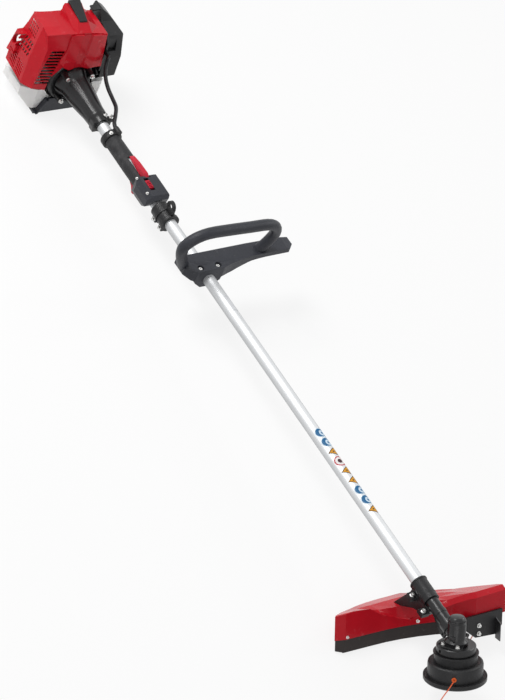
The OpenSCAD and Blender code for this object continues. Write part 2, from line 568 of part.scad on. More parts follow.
// ---------------------------------------------------------------- engine
clamp_s = tube_rear - 40;               // front of the clutch housing's clamp
module clutch_housing() rest() color(cutter_black) difference() {
    union() {
        turned([[clamp_s, tube_r + 4], [clamp_s + 14, tube_r + 7], [clamp_s + 22, 24.5],
            [clamp_s + 60, 26.5], [engine_s - 24, 35], [engine_s - 12, 41], [engine_s, 44],
            [engine_s, 12], [clamp_s, 12]]);
        for (a = [0:60:300]) along() rotate([0, 0, a + 20]) rotate([90, 0, 0])
            translate([0, 0, -2]) linear_extrude(4) polygon([[20, clamp_s + 22], [25, clamp_s + 30],
                [39, engine_s - 26], [46, engine_s - 12], [46, engine_s], [20, engine_s]]);
        front(clamp_s + 2, clamp_s + 18, [[-24, -2], [-20, -18], [20, -18], [24, -2], [24, 10],
            [-24, 10]]);
        block(clamp_s + 4, clamp_s + 14, 14, 34, 2, 12);
        fan_bosses(engine_s - 24, engine_s, 7);
    }
    rod(clamp_s - 1, tube_rear, tube_r);
    rod(tube_rear - eps, tube_rear + 20, drive_d / 2 + run_gap);
    turned([[tube_rear + 19, 0], [tube_rear + 19, 24], [drum_s - 6, drum_r + 3],
        [engine_s + 1, drum_r + 5], [engine_s + 1, 0]]);
    block(clamp_s - 1, clamp_s + 20, -1.2, 1.2, -60, -tube_r + 2);
    fan_bosses(engine_s - 30, engine_s - 24, 4.4);
    fan_bosses(engine_s - 25, engine_s - 17, 2);
}
fan_r = fan_housing_d / 2;
fan_s0 = engine_s + cover_wall;                  // front of the fan housing, behind the cover
fan_s1 = engine_s + 48;
module fan_bosses(s0, s1, r) for (a = [45:90:315]) along() rotate([0, 0, a])
    translate([46, 0, s0]) cylinder(h = s1 - s0, r = r);
module fan_housing() rest() color(cutter_black) difference() {
    union() {
        turned([[engine_s, drum_r + 5], [engine_s, 36], [fan_s0, 36], [fan_s0, fan_r - 3],
            [fan_s0 + 4, fan_r], [fan_s1, fan_r], [fan_s1, drum_r + 5]]);
        fan_bosses(engine_s, fan_s0 + 3, 7);
        // foot for the tank
        block(engine_s + 16, fan_s1, -30, 30, -fan_r - 4, -fan_r + 14);
    }
    turned([[fan_s0 + 3, 0], [fan_s0 + 8, fan_r - 4.5], [fan_s1 + 1, fan_r - 4.5], [fan_s1 + 1, 0]]);
    rod(engine_s - 1, engine_s + 20, drum_r + 4);
}
crank_s0 = drum_s + 6;
module clutch_shoes() rest() color([0.35, 0.3, 0.28]) for (a = [0, 180]) along() rotate([0, 0, a])
    translate([0, 0, crank_s0 + 2]) difference() {
        cylinder(h = 12, r = drum_r - 3.5);
        translate([-40, -40, -1]) cube([80, 41, 14]);
        translate([0, 0, -1]) cylinder(h = 14, r = 6);
    }
module crankshaft() rest() color(steel) union() {
    rod(crank_s0, case_s1 + 20, 5.5);
    rod(crank_s0 + 16, crank_s0 + 22, 12);
}
fly_s = engine_s + 14;
module flywheel() rest() color(aluminium) difference() {
    union() {
        rod(fly_s, fly_s + 8, fan_r - 10);
        for (a = [0:24:336]) along() rotate([0, 0, a]) translate([22, -1.25, fly_s + 8 - eps])
            cube([fan_r - 34, 2.5, 16]);
        rod(fly_s, fly_s + 24, 14);
    }
    rod(fly_s - 1, fly_s + 30, 5.5);
}
case_s0 = fan_s1;
case_s1 = engine_s + 96;
module crankcase() rest() color(steel) difference() {
    union() {
        rod(case_s0, case_s1, 40);
        block(case_s0, case_s1, -34, 34, -52, 20);
        block(case_s0 + 4, case_s1 - 4, -30, 30, 0, 44);
    }
    rod(case_s0 - 1, case_s1 + 1, 5.5 + run_gap);
}
cyl_s = (case_s0 + case_s1) / 2;
fin_pitch = 64 / fin_count;
port_y = 40;                            // end of the intake port
module cylinder_barrel() upright(cyl_s, 0, 44, 44 + fin_count * fin_pitch + 8, 21);
module cylinder_fins() for (i = [0:fin_count - 1])
    block(case_s0 + 1, case_s1 - 1, -32, 32, 50 + i * fin_pitch, 50 + i * fin_pitch + 2.5);
module engine_cylinder() rest() color(aluminium) union() {
    cylinder_barrel();
    cylinder_fins();
    block(cyl_s - 18, cyl_s + 18, -38, -20, 60, 92);
    block(cyl_s - 16, cyl_s + 16, 20, port_y, 62, 90);
}
plug_z = 44 + fin_count * fin_pitch + 8;
module spark_plug() rest() color("white") union() {
    upright(cyl_s, 0, plug_z, plug_z + 6, 8);
    upright(cyl_s, 0, plug_z + 6 - eps, plug_z + 26, 6);
}
module muffler() rest() color([0.3, 0.29, 0.28]) union() {
    block(fan_s1 + 1, engine_s + 94, -104, -38, 22, 116);
    across(engine_s + 84, 82, -112, -104, 8);
}
// Engine cover: a loft through three outlines, open below and behind, with a second loft inside.
// Each point is [station, y, z, and the way it moves inwards].
cover_s0 = engine_s;
cover_s1 = engine_s + 112;
function cover_row(ds, pts, back) = [for (p = pts) [cover_s0 + ds + p[0], p[1], p[2], back,
    p[3], p[4]]];
cover_front = cover_row(0, [[0, -107, -4, 1, -30], [0, -98, 112, 1, -0.4], [0, -112, 158, 0.6, -1],
    [0, -60, 154, 0, -1], [0, -28, 150, 0, -1], [0, -15, 150, 0.6, -1], [0, 9, 148, -0.6, -1],
    [0, 38, 142, 0, -1], [0, 55, 138, -1, -1], [0, 68, 37, -1, -30], [0, -19, 37, 0, -30],
    [0, -40, 50, 0, -30], [0, -65, 22, 0, -30], [0, -69, -14, 0, -30]], 1);
cover_middle = cover_row(28, [[0, -121, -8, 1, -30], [0, -120, 69, 1, -0.2], [0, -109, 160, 1, -1],
    [0, -58, 154, 0, -1], [0, -31, 151.5, 0, -1], [0, -18, 164, 0.6, -1], [0, 9, 162, -0.6, -1],
    [0, 40, 141, 0, -1], [0, 56, 138, -1, -1], [0, 68, 37, -1, -30], [0, -19, 37, 0, -30],
    [0, -40, 50, 0, -30], [0, -65, 22, 0, -30], [0, -69, -14, 0, -30]], 0);
cover_rear = cover_row(114, [[0, -122, 2, 1, -30], [0, -121, 90, 1, -0.2], [0, -103, 160, 1, -1],
    [0, -57, 154, 0, -1], [0, -34, 153, 0, -1], [0, -27, 172, 0.6, -1], [0, 28, 167, -0.6, -1],
    [0, 43, 140, 0, -1], [0, 57, 138, -1, -1], [0, 68, 37, -1, -30], [0, -19, 37, 0, -30],
    [0, -40, 50, 0, -30], [0, -65, 22, 0, -30], [0, -69, 2, 0, -30]], 20);
// Each end of a loft is closed by the fans in caps, lists of point numbers with the fan's root first.
module loft(rows, caps, t) {
    n = len(rows[0]);
    m = len(rows) - 1;
    function fan(c, first, turn) = [for (i = [1:len(c) - 2])
        turn ? [first + c[0], first + c[i + 1], first + c[i]] : [first + c[0], first + c[i], first + c[i + 1]]];
    polyhedron([for (r = rows) for (p = r) [-(p[0] + p[3] * t), p[1] + p[4] * t, p[2] + p[5] * t]],
        concat([for (c = caps) each fan(c, 0, false)], [for (i = [0:m - 1]) for (k = [0:n - 1])
            for (f = [0, 1]) let (a = i * n + k, b = i * n + (k + 1) % n)
                f == 0 ? [a, b + n, b] : [a, a + n, b + n]], [for (c = caps) each fan(c, m * n, true)]),
        convexity = 8);
}
module cover_block(t) loft([cover_front, cover_middle, cover_rear],
    [[1, 2, 3, 4, 11, 12, 13, 0], [7, 8, 9, 10, 11, 4, 5, 6]], t);
// raised panels that fold over the middle of the front
module cover_bulge() intersection() {
    front(cover_s0 - 8, cover_s0 + 2, concat([[-37, 53], [-54, 66], [-45, 100], [-45, 147.5],
        [-28, 148.5], [38, 140], [53.5, 136.5], [66, 39.5]], arc(0, 0, 48, 55, 118, 7)));
    plan(30, 160, [[cover_s0 + 3, -60], [cover_s0 - 3, -42], [cover_s0 - 5, -12], [cover_s0 - 1, -8],
        [cover_s0 - 1.5, 9], [cover_s0 - 5, 13], [cover_s0 - 3.5, 40], [cover_s0 - 0.5, 60],
        [cover_s0 + 3, 69]]);
}
module front_slots() for (i = [0:slot_count - 1]) let (t = i / (slot_count - 1))
    translate([0, -66 - 18 * t, 100 - 90 * t]) rotate([-8, 0, 0])
        block(cover_s0 - 5, cover_s0 + 10, -13.5, 13.5, -2.2, 2.2);
module side_grille() {
    // long slits that run down towards the front, in two lengths
    for (i = [0:4]) for (k = [0, 1]) translate([-cover_s0 - 92 + 30 * k, 0, 48 - 10 * k - 9 * i])
        rotate([0, 18, 0]) translate([0, -135, 0]) cube([25, 40, 4.5]);
    for (i = [0:4]) for (j = [0:2]) translate([-cover_s0 - 78 + 9 * i, -135, 66 + 14 * j])
        rotate([0, 18, 0]) cube([5, 40, 11]);
    for (i = [0:4]) for (j = [0:3]) translate([-cover_s0 - 74 + 7.5 * i, -135, 118 + 9 * j])
        rotate([0, 45, 0]) cube([4.5, 50, 4.5]);
}
visor = [[cover_s0 + 76, 40], [cover_s0 + 106, 33], [cover_s0 + 101, 88], [cover_s0 + 88, 106],
    [cover_s0 + 70, 104]];
module engine_cover() rest() color(red) difference() {
    union() {
        difference() {
            union() {
                cover_block(0);
                side(-130, -112, visor);
            }
            cover_block(cover_wall);
            side_grille();
        }
        difference() {
            cover_bulge();
            cover_block(cover_wall);
        }
    }
    insert_solid();
    front_slots();
    // outlet for the exhaust, through the visor
    side(-140, -100, [for (a = [0:30:330]) [cover_s0 + 84 + 8 * cos(a) - 6 * sin(a),
        80 + 17 * sin(a) + 3 * cos(a)]]);
    // clearance round the housing's bosses, and the intake's opening
    fan_bosses(cover_s0 - 30, fan_s0 + 1, 7.3);
    block(cyl_s - 27, cyl_s + 18, 45, 75, 48, 96);
    // rear edge
    side(-200, 200, [[cover_s0 + 106, -60], [cover_s0 + 104, 34], [cover_s0 + 88, 106],
        [cover_s0 + 80, 158], [cover_s0 + 90, 180], [cover_s0 + 200, 180], [cover_s0 + 200, -60]]);
}
module insert_solid() intersection() {
    side(-20, 40, [[cover_s0 + 24, 158], [cover_s0 + 24, 165], [cover_s0 + 88, 175],
        [cover_s0 + 88, 162]]);
    plan(0, 300, [[cover_s0 + 24, -15], [cover_s0 + 24, 5], [cover_s0 + 88, 16], [cover_s0 + 88, -15]]);
}
module cover_insert() rest() color(cutter_black) insert_solid();
base_y = 68.5;
primer_s = engine_s + 84;
primer_y = base_y - 12;
knuckle_r = 2.5;
hinge_y = base_y + 5.3;                 // the filter cover's hinge, at its rear corner
module filter_base() rest() color(cutter_black) difference() {
    union() {
        side(base_y, base_y + 5, [[engine_s + 2, 20], [engine_s + 4, 100], [engine_s + 24, 122],
            [engine_s + 54, 130], [engine_s + 66, 152], [engine_s + 96, 154], [engine_s + 104, 120],
            [engine_s + 104, 10], [engine_s + 20, 10]]);
        // beak over the cover's corner
        side(48, base_y, [[engine_s + 84, 149], [engine_s + 84, 153.5], [engine_s + 68, 152.5],
            [engine_s + 68, 149]]);
        // shelf for the primer, and the end stop of the throttle conduit
        block(primer_s - 11, primer_s + 11, primer_y - 11, base_y + 1, 12, 18);
        block(engine_s - 14, engine_s + 4, base_y - 0.4, base_y + 5, 72, 82);
        upright(engine_s + 104, hinge_y, 52, 80, knuckle_r);
    }
    upright(primer_s, primer_y, 10, 20, 9.5);
    for (z = [18, 82]) block(engine_s + 104 - knuckle_r - 1, engine_s + 120, base_y - 1, base_y + 6, z, z + 32);
}
module air_filter() rest() color([0.25, 0.25, 0.24]) block(engine_s + 28, engine_s + 84,
    base_y + 5, base_y + 25, 10, 110);
cover_y1 = 119;
module filter_outline(t) intersection() {
    side(40, 200, [[engine_s + t, 2], [engine_s + 4 + t, 56], [engine_s + 19 + t, 112],
        [engine_s + 54 + t, 126 - t], [engine_s + 68 + t, 148 - t], [engine_s + 96 - t, 150 - t],
        [engine_s + 104 - t, 120], [engine_s + 104 - t, 0], [engine_s + 90 - t, -12 + t],
        [engine_s + 12 + t, -12 + t]]);
    front(engine_s - 5, engine_s + 120, [[hinge_y, -12 + t], [hinge_y, 160],
        [76, 150 - t], [90, 140 - t], [106 - t, 124 - t], [116 - t, 113 - t], [cover_y1 - t, 58],
        [cover_y1 - 3 - t, -2 + t], [104 - t, -12 + t]]);
}
module filter_cover() rest() color(cutter_black) difference() {
    union() {
        filter_outline(0);
        for (z = [20, 84]) upright(engine_s + 104, hinge_y, z, z + 28, knuckle_r);
    }
    difference() {
        filter_outline(3);
        block(engine_s, engine_s + 22, 76, 104, 68, 106);
    }
    block(engine_s - 1, engine_s + 16, 80, 101, 72, 102);
    block(engine_s + 103 - knuckle_r, engine_s + 120, hinge_y - 1, hinge_y + knuckle_r + 1, 50, 82);
}
module carburettor() rest() color(steel) block(cyl_s - 16, cyl_s + 16, port_y, base_y, 58, 94);
module throttle_lever() rest() color(steel) union() {
    upright(cyl_s, 55, 51, 57.8, 3);
    block(cyl_s - 15, cyl_s + 3, 52, 58, 51, 54);
}
choke_s = engine_s + 28;
module choke_lever() rest() color(cutter_black) union() {
    across(choke_s, 26, 60, base_y - 0.2, 4);
    side(60, 64, [[choke_s + 4, 30], [choke_s + 2, 20], [choke_s - 30, 12], [choke_s - 34, 18],
        [choke_s - 6, 31]]);
}
module primer_bulb() rest() color([0.8, 0.78, 0.7, 0.6]) upright(primer_s, primer_y, 4, 16, 9.2);
tank_s0 = engine_s + 14;
tank_s1 = engine_s + 130;
tank_top = -26;
tank_low = -82;
module tank_outline(t) intersection() {
    plan(tank_low + t, tank_top - t, [[tank_s0 + t, -tank_w / 2 + 30],
        [tank_s0 + 22 + t, -tank_w / 2 - 6 + t], [tank_s1 - 20 - t, -tank_w / 2 - 6 + t],
        [tank_s1 - t, -tank_w / 2 + 22], [tank_s1 - t, tank_w / 2 - 22],
        [tank_s1 - 20 - t, tank_w / 2 - t], [tank_s0 + 6 + t, tank_w / 2 - t],
        [tank_s0 + t, tank_w / 2 - 8]]);
    front(tank_s0 - 5, tank_s1 + 5, [[-tank_w / 2 - 6 + t, tank_top - t],
        [-tank_w / 2 - 6 + t, tank_low + 32], [-tank_w / 2 + 22 + t, tank_low + t],
        [tank_w / 2 - 22 - t, tank_low + t], [tank_w / 2 - t, tank_low + 26],
        [tank_w / 2 - t, tank_top - t]]);
}
cap_s = tank_s0 + 96;
cap_r = 18;
starter_r = 62;
cap_y = max(tank_w / 2 - 25, starter_r + cap_r);   // clear of the starter
module tank_saddle(t) {
    rod(tank_s0 - 5, tank_s1 + 5, fan_r + 5 + t);
    block(engine_s + 15.5 - t, fan_s1 + 0.5 + t, -30.5 - t, 30.5 + t, -fan_r - 4.2 - t, 0);
}
module fuel_tank() rest() color([0.86, 0.85, 0.82, 0.8]) difference() {
    union() {
        tank_outline(0);
        upright(cap_s, cap_y, tank_top - 1, tank_top + 8, 14.5);
    }
    difference() {
        tank_outline(tank_wall);
        tank_saddle(tank_wall);
    }
    upright(cap_s, cap_y, tank_top - 10, tank_top + 9, 11.5);
    tank_saddle(0);
}
module fuel_cap() rest() color(cutter_black) difference() {
    upright(cap_s, cap_y, tank_top + 0.3, tank_top + 13, cap_r);
    upright(cap_s, cap_y, tank_top - 1, tank_top + 8.3, 14.8);
}
module ground_cut() rotate([0, lie_tilt, 0]) translate([-4000, -500, ground_z * cos(lie_tilt) - 300])
    cube([5000, 1000, 300]);
module engine_stand() rest() color([0.2, 0.2, 0.21]) difference() {
    union() {
        front(engine_s + 4, engine_s + 9, [[-stand_w / 2, -100], [-42, -50], [42, -50],
            [stand_w / 2, -100]]);
        for (k = [-1, 1]) front(engine_s, engine_s + 13, [[k * stand_w / 2, -100],
            [k * (stand_w / 2 - 6), -100], [k * 44, -52], [k * 50, -52]]);
        block(engine_s + 4, engine_s + 64, -stand_w / 2, stand_w / 2, -110, tank_low - 0.3);
    }
    rod(engine_s - 1, engine_s + 20, fan_r);
    ground_cut();
}
starter_s0 = case_s1;
module starter_housing() rest() color(cutter_black) difference() {
    turned([[starter_s0, 0], [starter_s0, starter_r], [starter_s0 + 30, 60], [starter_s0 + 42, 48],
        [starter_s0 + 42, 0]]);
    turned([[starter_s0 + 3, 0], [starter_s0 + 3, 58], [starter_s0 + 29, 57],
        [starter_s0 + 39, 46], [starter_s0 + 39, 0]]);
    rod(starter_s0 - 1, starter_s0 + 5, 8);
    for (a = [0:30:330]) along() rotate([0, 0, a]) translate([30, -2, starter_s0 + 35])
        cube([14, 4, 10]);
}
module starter_grip() rest() color(cutter_black) union() {
    block(starter_s0 + 9, starter_s0 + 21, -20, 20, 66, 77);
    upright(starter_s0 + 15, 0, 61.6, 66 + eps, 5);
}
// ---------------------------------------------------------------- screws
module cap_screw(l) {
    difference() {
        cylinder(h = 5, r = 4.2);
        translate([0, 0, 2.2]) cylinder(h = 4, r = 2.3, $fn = 6);
    }
    translate([0, 0, -l]) cylinder(h = l + eps, r = 2);
}
module socket_screws() rest() color([0.8, 0.8, 0.78]) {
    for (y = [-23, 23]) at(clamp_screw_s, y, 15) cap_screw(12);
    for (s = [88, 132]) at(s, -23, -14) cap_screw(12);
    for (a = [45:90:315]) along() rotate([0, 0, a]) translate([46, 0, engine_s - 24])
        rotate([180, 0, 0]) cap_screw(6);
}

shaft_tube();
shaft_bushes();
drive_shaft();
clutch_drum();
gear_housing();
gearbox_bearings();
holder_plate();
shaft_cup();
output_shaft();
head_hub();
head_drum();
line_eyelets();
head_cover();
line_spool();
bump_spring();
bump_knob();
line_front();
line_rear();
guard_collar();
guard_bracket();
guard_shell();
guard_skirt();
cutter_bracket();
line_cutter();
loop_handle();
barrier_bar();
handle_clamp();
carrying_eye();
rear_grip();
grip_collar();
throttle_housing_left();
throttle_housing_right();
throttle_trigger();
lockout_lever();
stop_switch();
throttle_conduit();
socket_screws();
clutch_housing();
fan_housing();
crankcase();
crankshaft();
flywheel();
clutch_shoes();
engine_cylinder();
spark_plug();
muffler();
engine_cover();
cover_insert();
filter_base();
air_filter();
filter_cover();
carburettor();
throttle_lever();
choke_lever();
primer_bulb();
fuel_tank();
fuel_cap();
engine_stand();
starter_housing();
starter_grip();
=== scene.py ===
import json
import math

import bmesh
import bpy
from mathutils import Euler, Matrix, Vector


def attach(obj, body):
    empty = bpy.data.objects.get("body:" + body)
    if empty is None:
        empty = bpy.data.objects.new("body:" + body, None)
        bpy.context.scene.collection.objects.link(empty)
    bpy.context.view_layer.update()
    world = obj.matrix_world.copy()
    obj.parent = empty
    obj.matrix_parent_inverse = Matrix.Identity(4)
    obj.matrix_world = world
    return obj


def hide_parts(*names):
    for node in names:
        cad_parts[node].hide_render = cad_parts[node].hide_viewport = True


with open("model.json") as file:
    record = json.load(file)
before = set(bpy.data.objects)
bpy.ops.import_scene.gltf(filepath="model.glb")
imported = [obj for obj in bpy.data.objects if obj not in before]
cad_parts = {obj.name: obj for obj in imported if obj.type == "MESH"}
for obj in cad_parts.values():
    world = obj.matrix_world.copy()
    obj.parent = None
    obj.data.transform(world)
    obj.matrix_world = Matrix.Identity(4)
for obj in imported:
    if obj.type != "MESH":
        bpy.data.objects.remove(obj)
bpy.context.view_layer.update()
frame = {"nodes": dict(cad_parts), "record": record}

# The machine's own axes, from its packed joints: along the shaft, up across it, and the head's axis.
joints = {joint["name"]: joint for joint in frame["record"]["behaviour"]["joints"]}
body_of_node = {node: body for body, nodes in frame["record"]["behaviour"]["bodies"].items()
                for node in nodes}
slot_of_node = {part["node"]: part["material_slot"] for part in frame["record"]["subparts"]}
meeting_point = Vector(joints["head_spin"]["pos_m"])    # where the shaft axis meets the head axis
forward = Vector(joints["drive_spin"]["axis"]).normalized()
leftward = Vector((0, 1, 0))
upward = forward.cross(leftward)
head_axis = Vector(joints["head_spin"]["axis"]).normalized()
head_forward = leftward.cross(head_axis)
MM = 0.001
COVER_FRONT = 1698.5    # station of the engine cover's front face


def at(station, y, z):
    """A place on the machine: millimetres back along the shaft, to the left and up."""
    return meeting_point + (forward * -station + leftward * y + upward * z) * MM


def on_head(x, y, z):
    """A place on the cutting head, in millimetres from the same point, z along the head's axis."""
    return meeting_point + (head_forward * x + leftward * y + head_axis * z) * MM


# ---------------------------------------------------------------- camera
CAMERA_PLACE = (3.44149, -3.85562, 4.83930)
CAMERA_TURN = (44.34981, -18.44284, 59.64718)   # degrees about X, Y and Z
FRAME_HEIGHT = 36                               # mm
FOCAL_LENGTH = 165.45                           # mm
FARTHEST_SEEN = 50                              # m

camera = bpy.data.objects.new("camera", bpy.data.cameras.new("camera"))
bpy.context.collection.objects.link(camera)
camera.data.sensor_fit = "VERTICAL"
camera.data.sensor_height = FRAME_HEIGHT
camera.data.lens = FOCAL_LENGTH
camera.data.clip_end = FARTHEST_SEEN
camera.matrix_world = Matrix.LocRotScale(Vector(CAMERA_PLACE),
                                         Euler([math.radians(a) for a in CAMERA_TURN]), None)
bpy.context.scene.camera = camera
bpy.context.scene.view_settings.view_transform = "Standard"


# ---------------------------------------------------------------- shader maths
class Number:
    """A number that varies over a surface. Python's operators on it add Math nodes."""

    def __init__(self, finish, socket):
        self.finish = finish
        self.socket = socket

    def work(self, operation, *values):
        node = self.finish.node("ShaderNodeMath", {"operation": operation}, dict(enumerate(values)))
        return Number(self.finish, node.outputs[0])

    def __add__(self, other): return self.work("ADD", self, other)
    def __radd__(self, other): return self.work("ADD", other, self)
    def __sub__(self, other): return self.work("SUBTRACT", self, other)
    def __rsub__(self, other): return self.work("SUBTRACT", other, self)
    def __mul__(self, other): return self.work("MULTIPLY", self, other)
    def __rmul__(self, other): return self.work("MULTIPLY", other, self)
    def __truediv__(self, other): return self.work("DIVIDE", self, other)
    def __lt__(self, other): return self.work("LESS_THAN", self, other)
    def __gt__(self, other): return self.work("GREATER_THAN", self, other)
    def root(self): return self.work("SQRT", self)
    def size(self): return self.work("ABSOLUTE", self)
    def wave(self): return self.work("SINE", self)

    def ramp(self, low, high):
        """0 below low and 1 above high, with a soft step between them."""
        node = self.finish.node("ShaderNodeMapRange", {"interpolation_type": "SMOOTHSTEP"},
                                {"Value": self, "From Min": low, "From Max": high})
        return Number(self.finish, node.outputs["Result"])


class Finish:
    """One procedural material: a Principled shader and what varies over its surface."""

    def __init__(self, name, colour, roughness=0.5, metallic=0.0, **constants):
        self.material = bpy.data.materials.new(name)
        self.material.use_nodes = True
        self.tree = self.material.node_tree
        self.shader = self.tree.nodes["Principled BSDF"]
        self.shader.inputs["Base Color"].default_value = (*colour, 1)
        self.shader.inputs["Roughness"].default_value = roughness
        self.shader.inputs["Metallic"].default_value = metallic
        self.set(**constants)
        self.place = self.node("ShaderNodeTexCoord").outputs["Object"]

    def node(self, kind, settings=None, values=None):
        """A new node with its own settings, and values or links on its inputs."""
        node = self.tree.nodes.new(kind)
        for name, value in (settings or {}).items():
            setattr(node, name, value)
        for name, value in (values or {}).items():
            self.feed(node.inputs[name], value)
        return node

    def feed(self, socket, value):
        if isinstance(value, Number):
            value = value.socket
        if isinstance(value, bpy.types.NodeSocket):
            self.tree.links.new(value, socket)
        else:
            socket.default_value = (*value, 1) if socket.type == "RGBA" and len(value) == 3 else value

    def set(self, **values):
        """Feeds the shader's inputs, named with _ for a space."""
        for name, value in values.items():
            self.feed(self.shader.inputs[name.replace("_", " ")], value)
        return self

    def noise(self, per_metre, detail=2.0, stretch=(1, 1, 1), turn=(0, 0, 0), rough=0.5):
        """Soft noise of about that many patches to the metre; stretch squeezes it along an axis."""
        spot = self.node("ShaderNodeMapping", {"vector_type": "TEXTURE"},
                         {"Vector": self.place, "Rotation": turn, "Scale": stretch})
        node = self.node("ShaderNodeTexNoise", None, {"Vector": spot.outputs[0], "Scale": per_metre,
                                                      "Detail": detail, "Roughness": rough})
        return Number(self, node.outputs["Fac"])

    def cells(self, per_metre):
        """The distance to the nearest of scattered points, about that many to the metre."""
        node = self.node("ShaderNodeTexVoronoi", None, {"Vector": self.place, "Scale": per_metre})
        return Number(self, node.outputs["Distance"])

    def blend(self, share, first, second):
        """The first colour where the share is 0 and the second where it is 1."""
        node = self.node("ShaderNodeMix", {"data_type": "RGBA"}, {"Factor": share})
        a, b = [s for s in node.inputs if s.type == "RGBA"]
        self.feed(a, first)
        self.feed(b, second)
        return next(s for s in node.outputs if s.type == "RGBA")

    def relief(self, height, depth, strength=1.0):
        """Turns a height of 0 to 1 into a bump of that depth in metres."""
        bump = self.node("ShaderNodeBump", None, {"Height": height, "Strength": strength,
                                                  "Distance": depth})
        return self.set(Normal=bump.outputs[0])

    def surface_uv(self):
        """The two numbers of the mesh's own UV map."""
        parts = self.node("ShaderNodeSeparateXYZ", None,
                          {0: self.node("ShaderNodeUVMap", {"uv_map": "UVMap"}).outputs[0]})
        return Number(self, parts.outputs[0]), Number(self, parts.outputs[1])


def shade(colour, factor):
    """The colour made darker or brighter by a factor."""
    return tuple(min(1.0, c * factor) for c in colour)


def lit(colour, share):
    """The colour with a share of white in it."""
    return tuple(c + (1 - c) * share for c in colour)


def gloss_moulding(name, colour, roughness=0.22):
    """Bright moulded plastic: a clear gloss with faint flow marks, fine scratches and some dust."""
    f = Finish(name, colour, roughness, Coat_Weight=0.04, Coat_Roughness=0.06, Specular_IOR_Level=0.14)
    flow = f.noise(9, 3).ramp(0.35, 0.7)
    dust = f.noise(55, 5, rough=0.62).ramp(0.58, 0.78)
    scratch = f.noise(420, 2, (6, 0.35, 1), (0.3, 0.2, 0.6)).ramp(0.66, 0.72)
    tone = f.blend(flow, shade(colour, 0.94), shade(colour, 1.05))
    tone = f.blend(dust * 0.10, tone, lit(colour, 0.45))
    f.set(Base_Color=tone, Roughness=roughness + dust * 0.12 + scratch * 0.10)
    return f.relief(f.noise(420, 2) * 0.8 + scratch * 0.2, 0.00003, 0.4)


def grained_moulding(name, colour, roughness=0.48, grain=1300, depth=0.00018):
    """Spark-eroded moulded plastic: a fine leathery grain, slightly worn smooth in patches."""
    f = Finish(name, colour, roughness, Specular_IOR_Level=0.32)
    patch = f.noise(18, 4).ramp(0.35, 0.75)
    rub = f.noise(95, 4, rough=0.6).ramp(0.60, 0.80)
    pits = f.cells(grain)
    tone = f.blend(patch, shade(colour, 0.86), shade(colour, 1.14))
    tone = f.blend(rub * 0.16, tone, lit(colour, 0.22))
    f.set(Base_Color=tone, Roughness=roughness + patch * 0.08 - rub * 0.10)
    return f.relief(pits.ramp(0.05, 0.75) + f.noise(grain * 0.6, 2) * 0.5, depth, 0.6)


def drawn_aluminium(name, colour, roughness=0.50):
    """Bright drawn tube: long fine die lines along the shaft and faint cloudy oxide."""
    turn = forward.to_track_quat("X", "Z").to_euler()
    f = Finish(name, colour, roughness, metallic=1.0, Specular_Tint=(0.5, 0.5, 0.5, 1))
    lines = f.noise(700, 3, (60, 1, 1), turn, 0.6)
    cloud = f.noise(22, 4, (4, 1, 1), turn).ramp(0.35, 0.75)
    scuff = f.noise(260, 3, (0.5, 3, 3), turn).ramp(0.70, 0.78)
    tone = f.blend(lines.ramp(0.3, 0.7), shade(colour, 0.93), shade(colour, 1.03))
    tone = f.blend(cloud * 0.18, tone, shade(colour, 0.82))
    f.set(Base_Color=tone, Roughness=roughness + lines * 0.12 + cloud * 0.06 + scuff * 0.14)
    return f.relief(lines, 0.00003, 0.35)


def cast_metal(name, colour, roughness=0.42, metallic=0.0, lump=0.0004):
    """Sand-cast metal, bare or painted: soft lumps under a fine pebbled skin."""
    f = Finish(name, colour, roughness, metallic, Specular_IOR_Level=0.5 if metallic else 0.40)
    skin = f.noise(1500, 4, rough=0.65)
    lumps = f.noise(210, 3)
    worn = f.noise(75, 5, rough=0.65).ramp(0.62, 0.78)
    tone = f.blend(lumps.ramp(0.3, 0.75), shade(colour, 0.82), shade(colour, 1.18))
    tone = f.blend(worn * 0.22, tone, lit(colour, 0.30))
    f.set(Base_Color=tone, Roughness=roughness + skin * 0.16 - worn * 0.08)
    return f.relief(lumps * 0.7 + skin * 0.3, lump, 0.55)


def machined_steel(name, colour, roughness=0.28):
    """Zinc-plated or ground steel with fine tool marks and a trace of tarnish."""
    f = Finish(name, colour, roughness, metallic=1.0)
    marks = f.noise(1900, 3, (1, 1, 9))
    tarnish = f.noise(130, 5, rough=0.65).ramp(0.52, 0.80)
    tone = f.blend(tarnish * 0.55, colour, (0.34, 0.30, 0.25))
    f.set(Base_Color=tone, Roughness=roughness + marks * 0.14 + tarnish * 0.22)
    return f.relief(marks, 0.00004, 0.5)


def soft_rubber(name, colour):
    """Grip rubber: dull, faintly pebbled, paler where hands and dust have rubbed it."""
    f = Finish(name, colour, 0.62, Specular_IOR_Level=0.3)
    pebbles = f.cells(950)
    bloom = f.noise(48, 5, rough=0.6).ramp(0.45, 0.80)
    tone = f.blend(bloom * 0.35, shade(colour, 0.9), lit(colour, 0.14))
    f.set(Base_Color=tone, Roughness=0.56 + bloom * 0.16)
    return f.relief(pebbles.ramp(0.0, 0.6) + f.noise(400, 2) * 0.3, 0.00030, 0.6)


def milky_plastic(name, colour):
    """Blow-moulded tank plastic: pale, waxy and slightly see-through, with soft cloudiness."""
    f = Finish(name, colour, 0.34, Subsurface_Weight=0.35, Subsurface_Scale=0.02,
               Subsurface_Radius=(1.0, 0.95, 0.85))
    cloud = f.noise(26, 4).ramp(0.3, 0.75)
    specks = f.noise(700, 2).ramp(0.70, 0.76)
    tone = f.blend(cloud, shade(colour, 0.93), shade(colour, 1.04))
    tone = f.blend(specks * 0.25, tone, (0.55, 0.53, 0.49))
    f.set(Base_Color=tone, Roughness=0.30 + cloud * 0.14)
    return f.relief(f.noise(190, 3), 0.00025, 0.5)


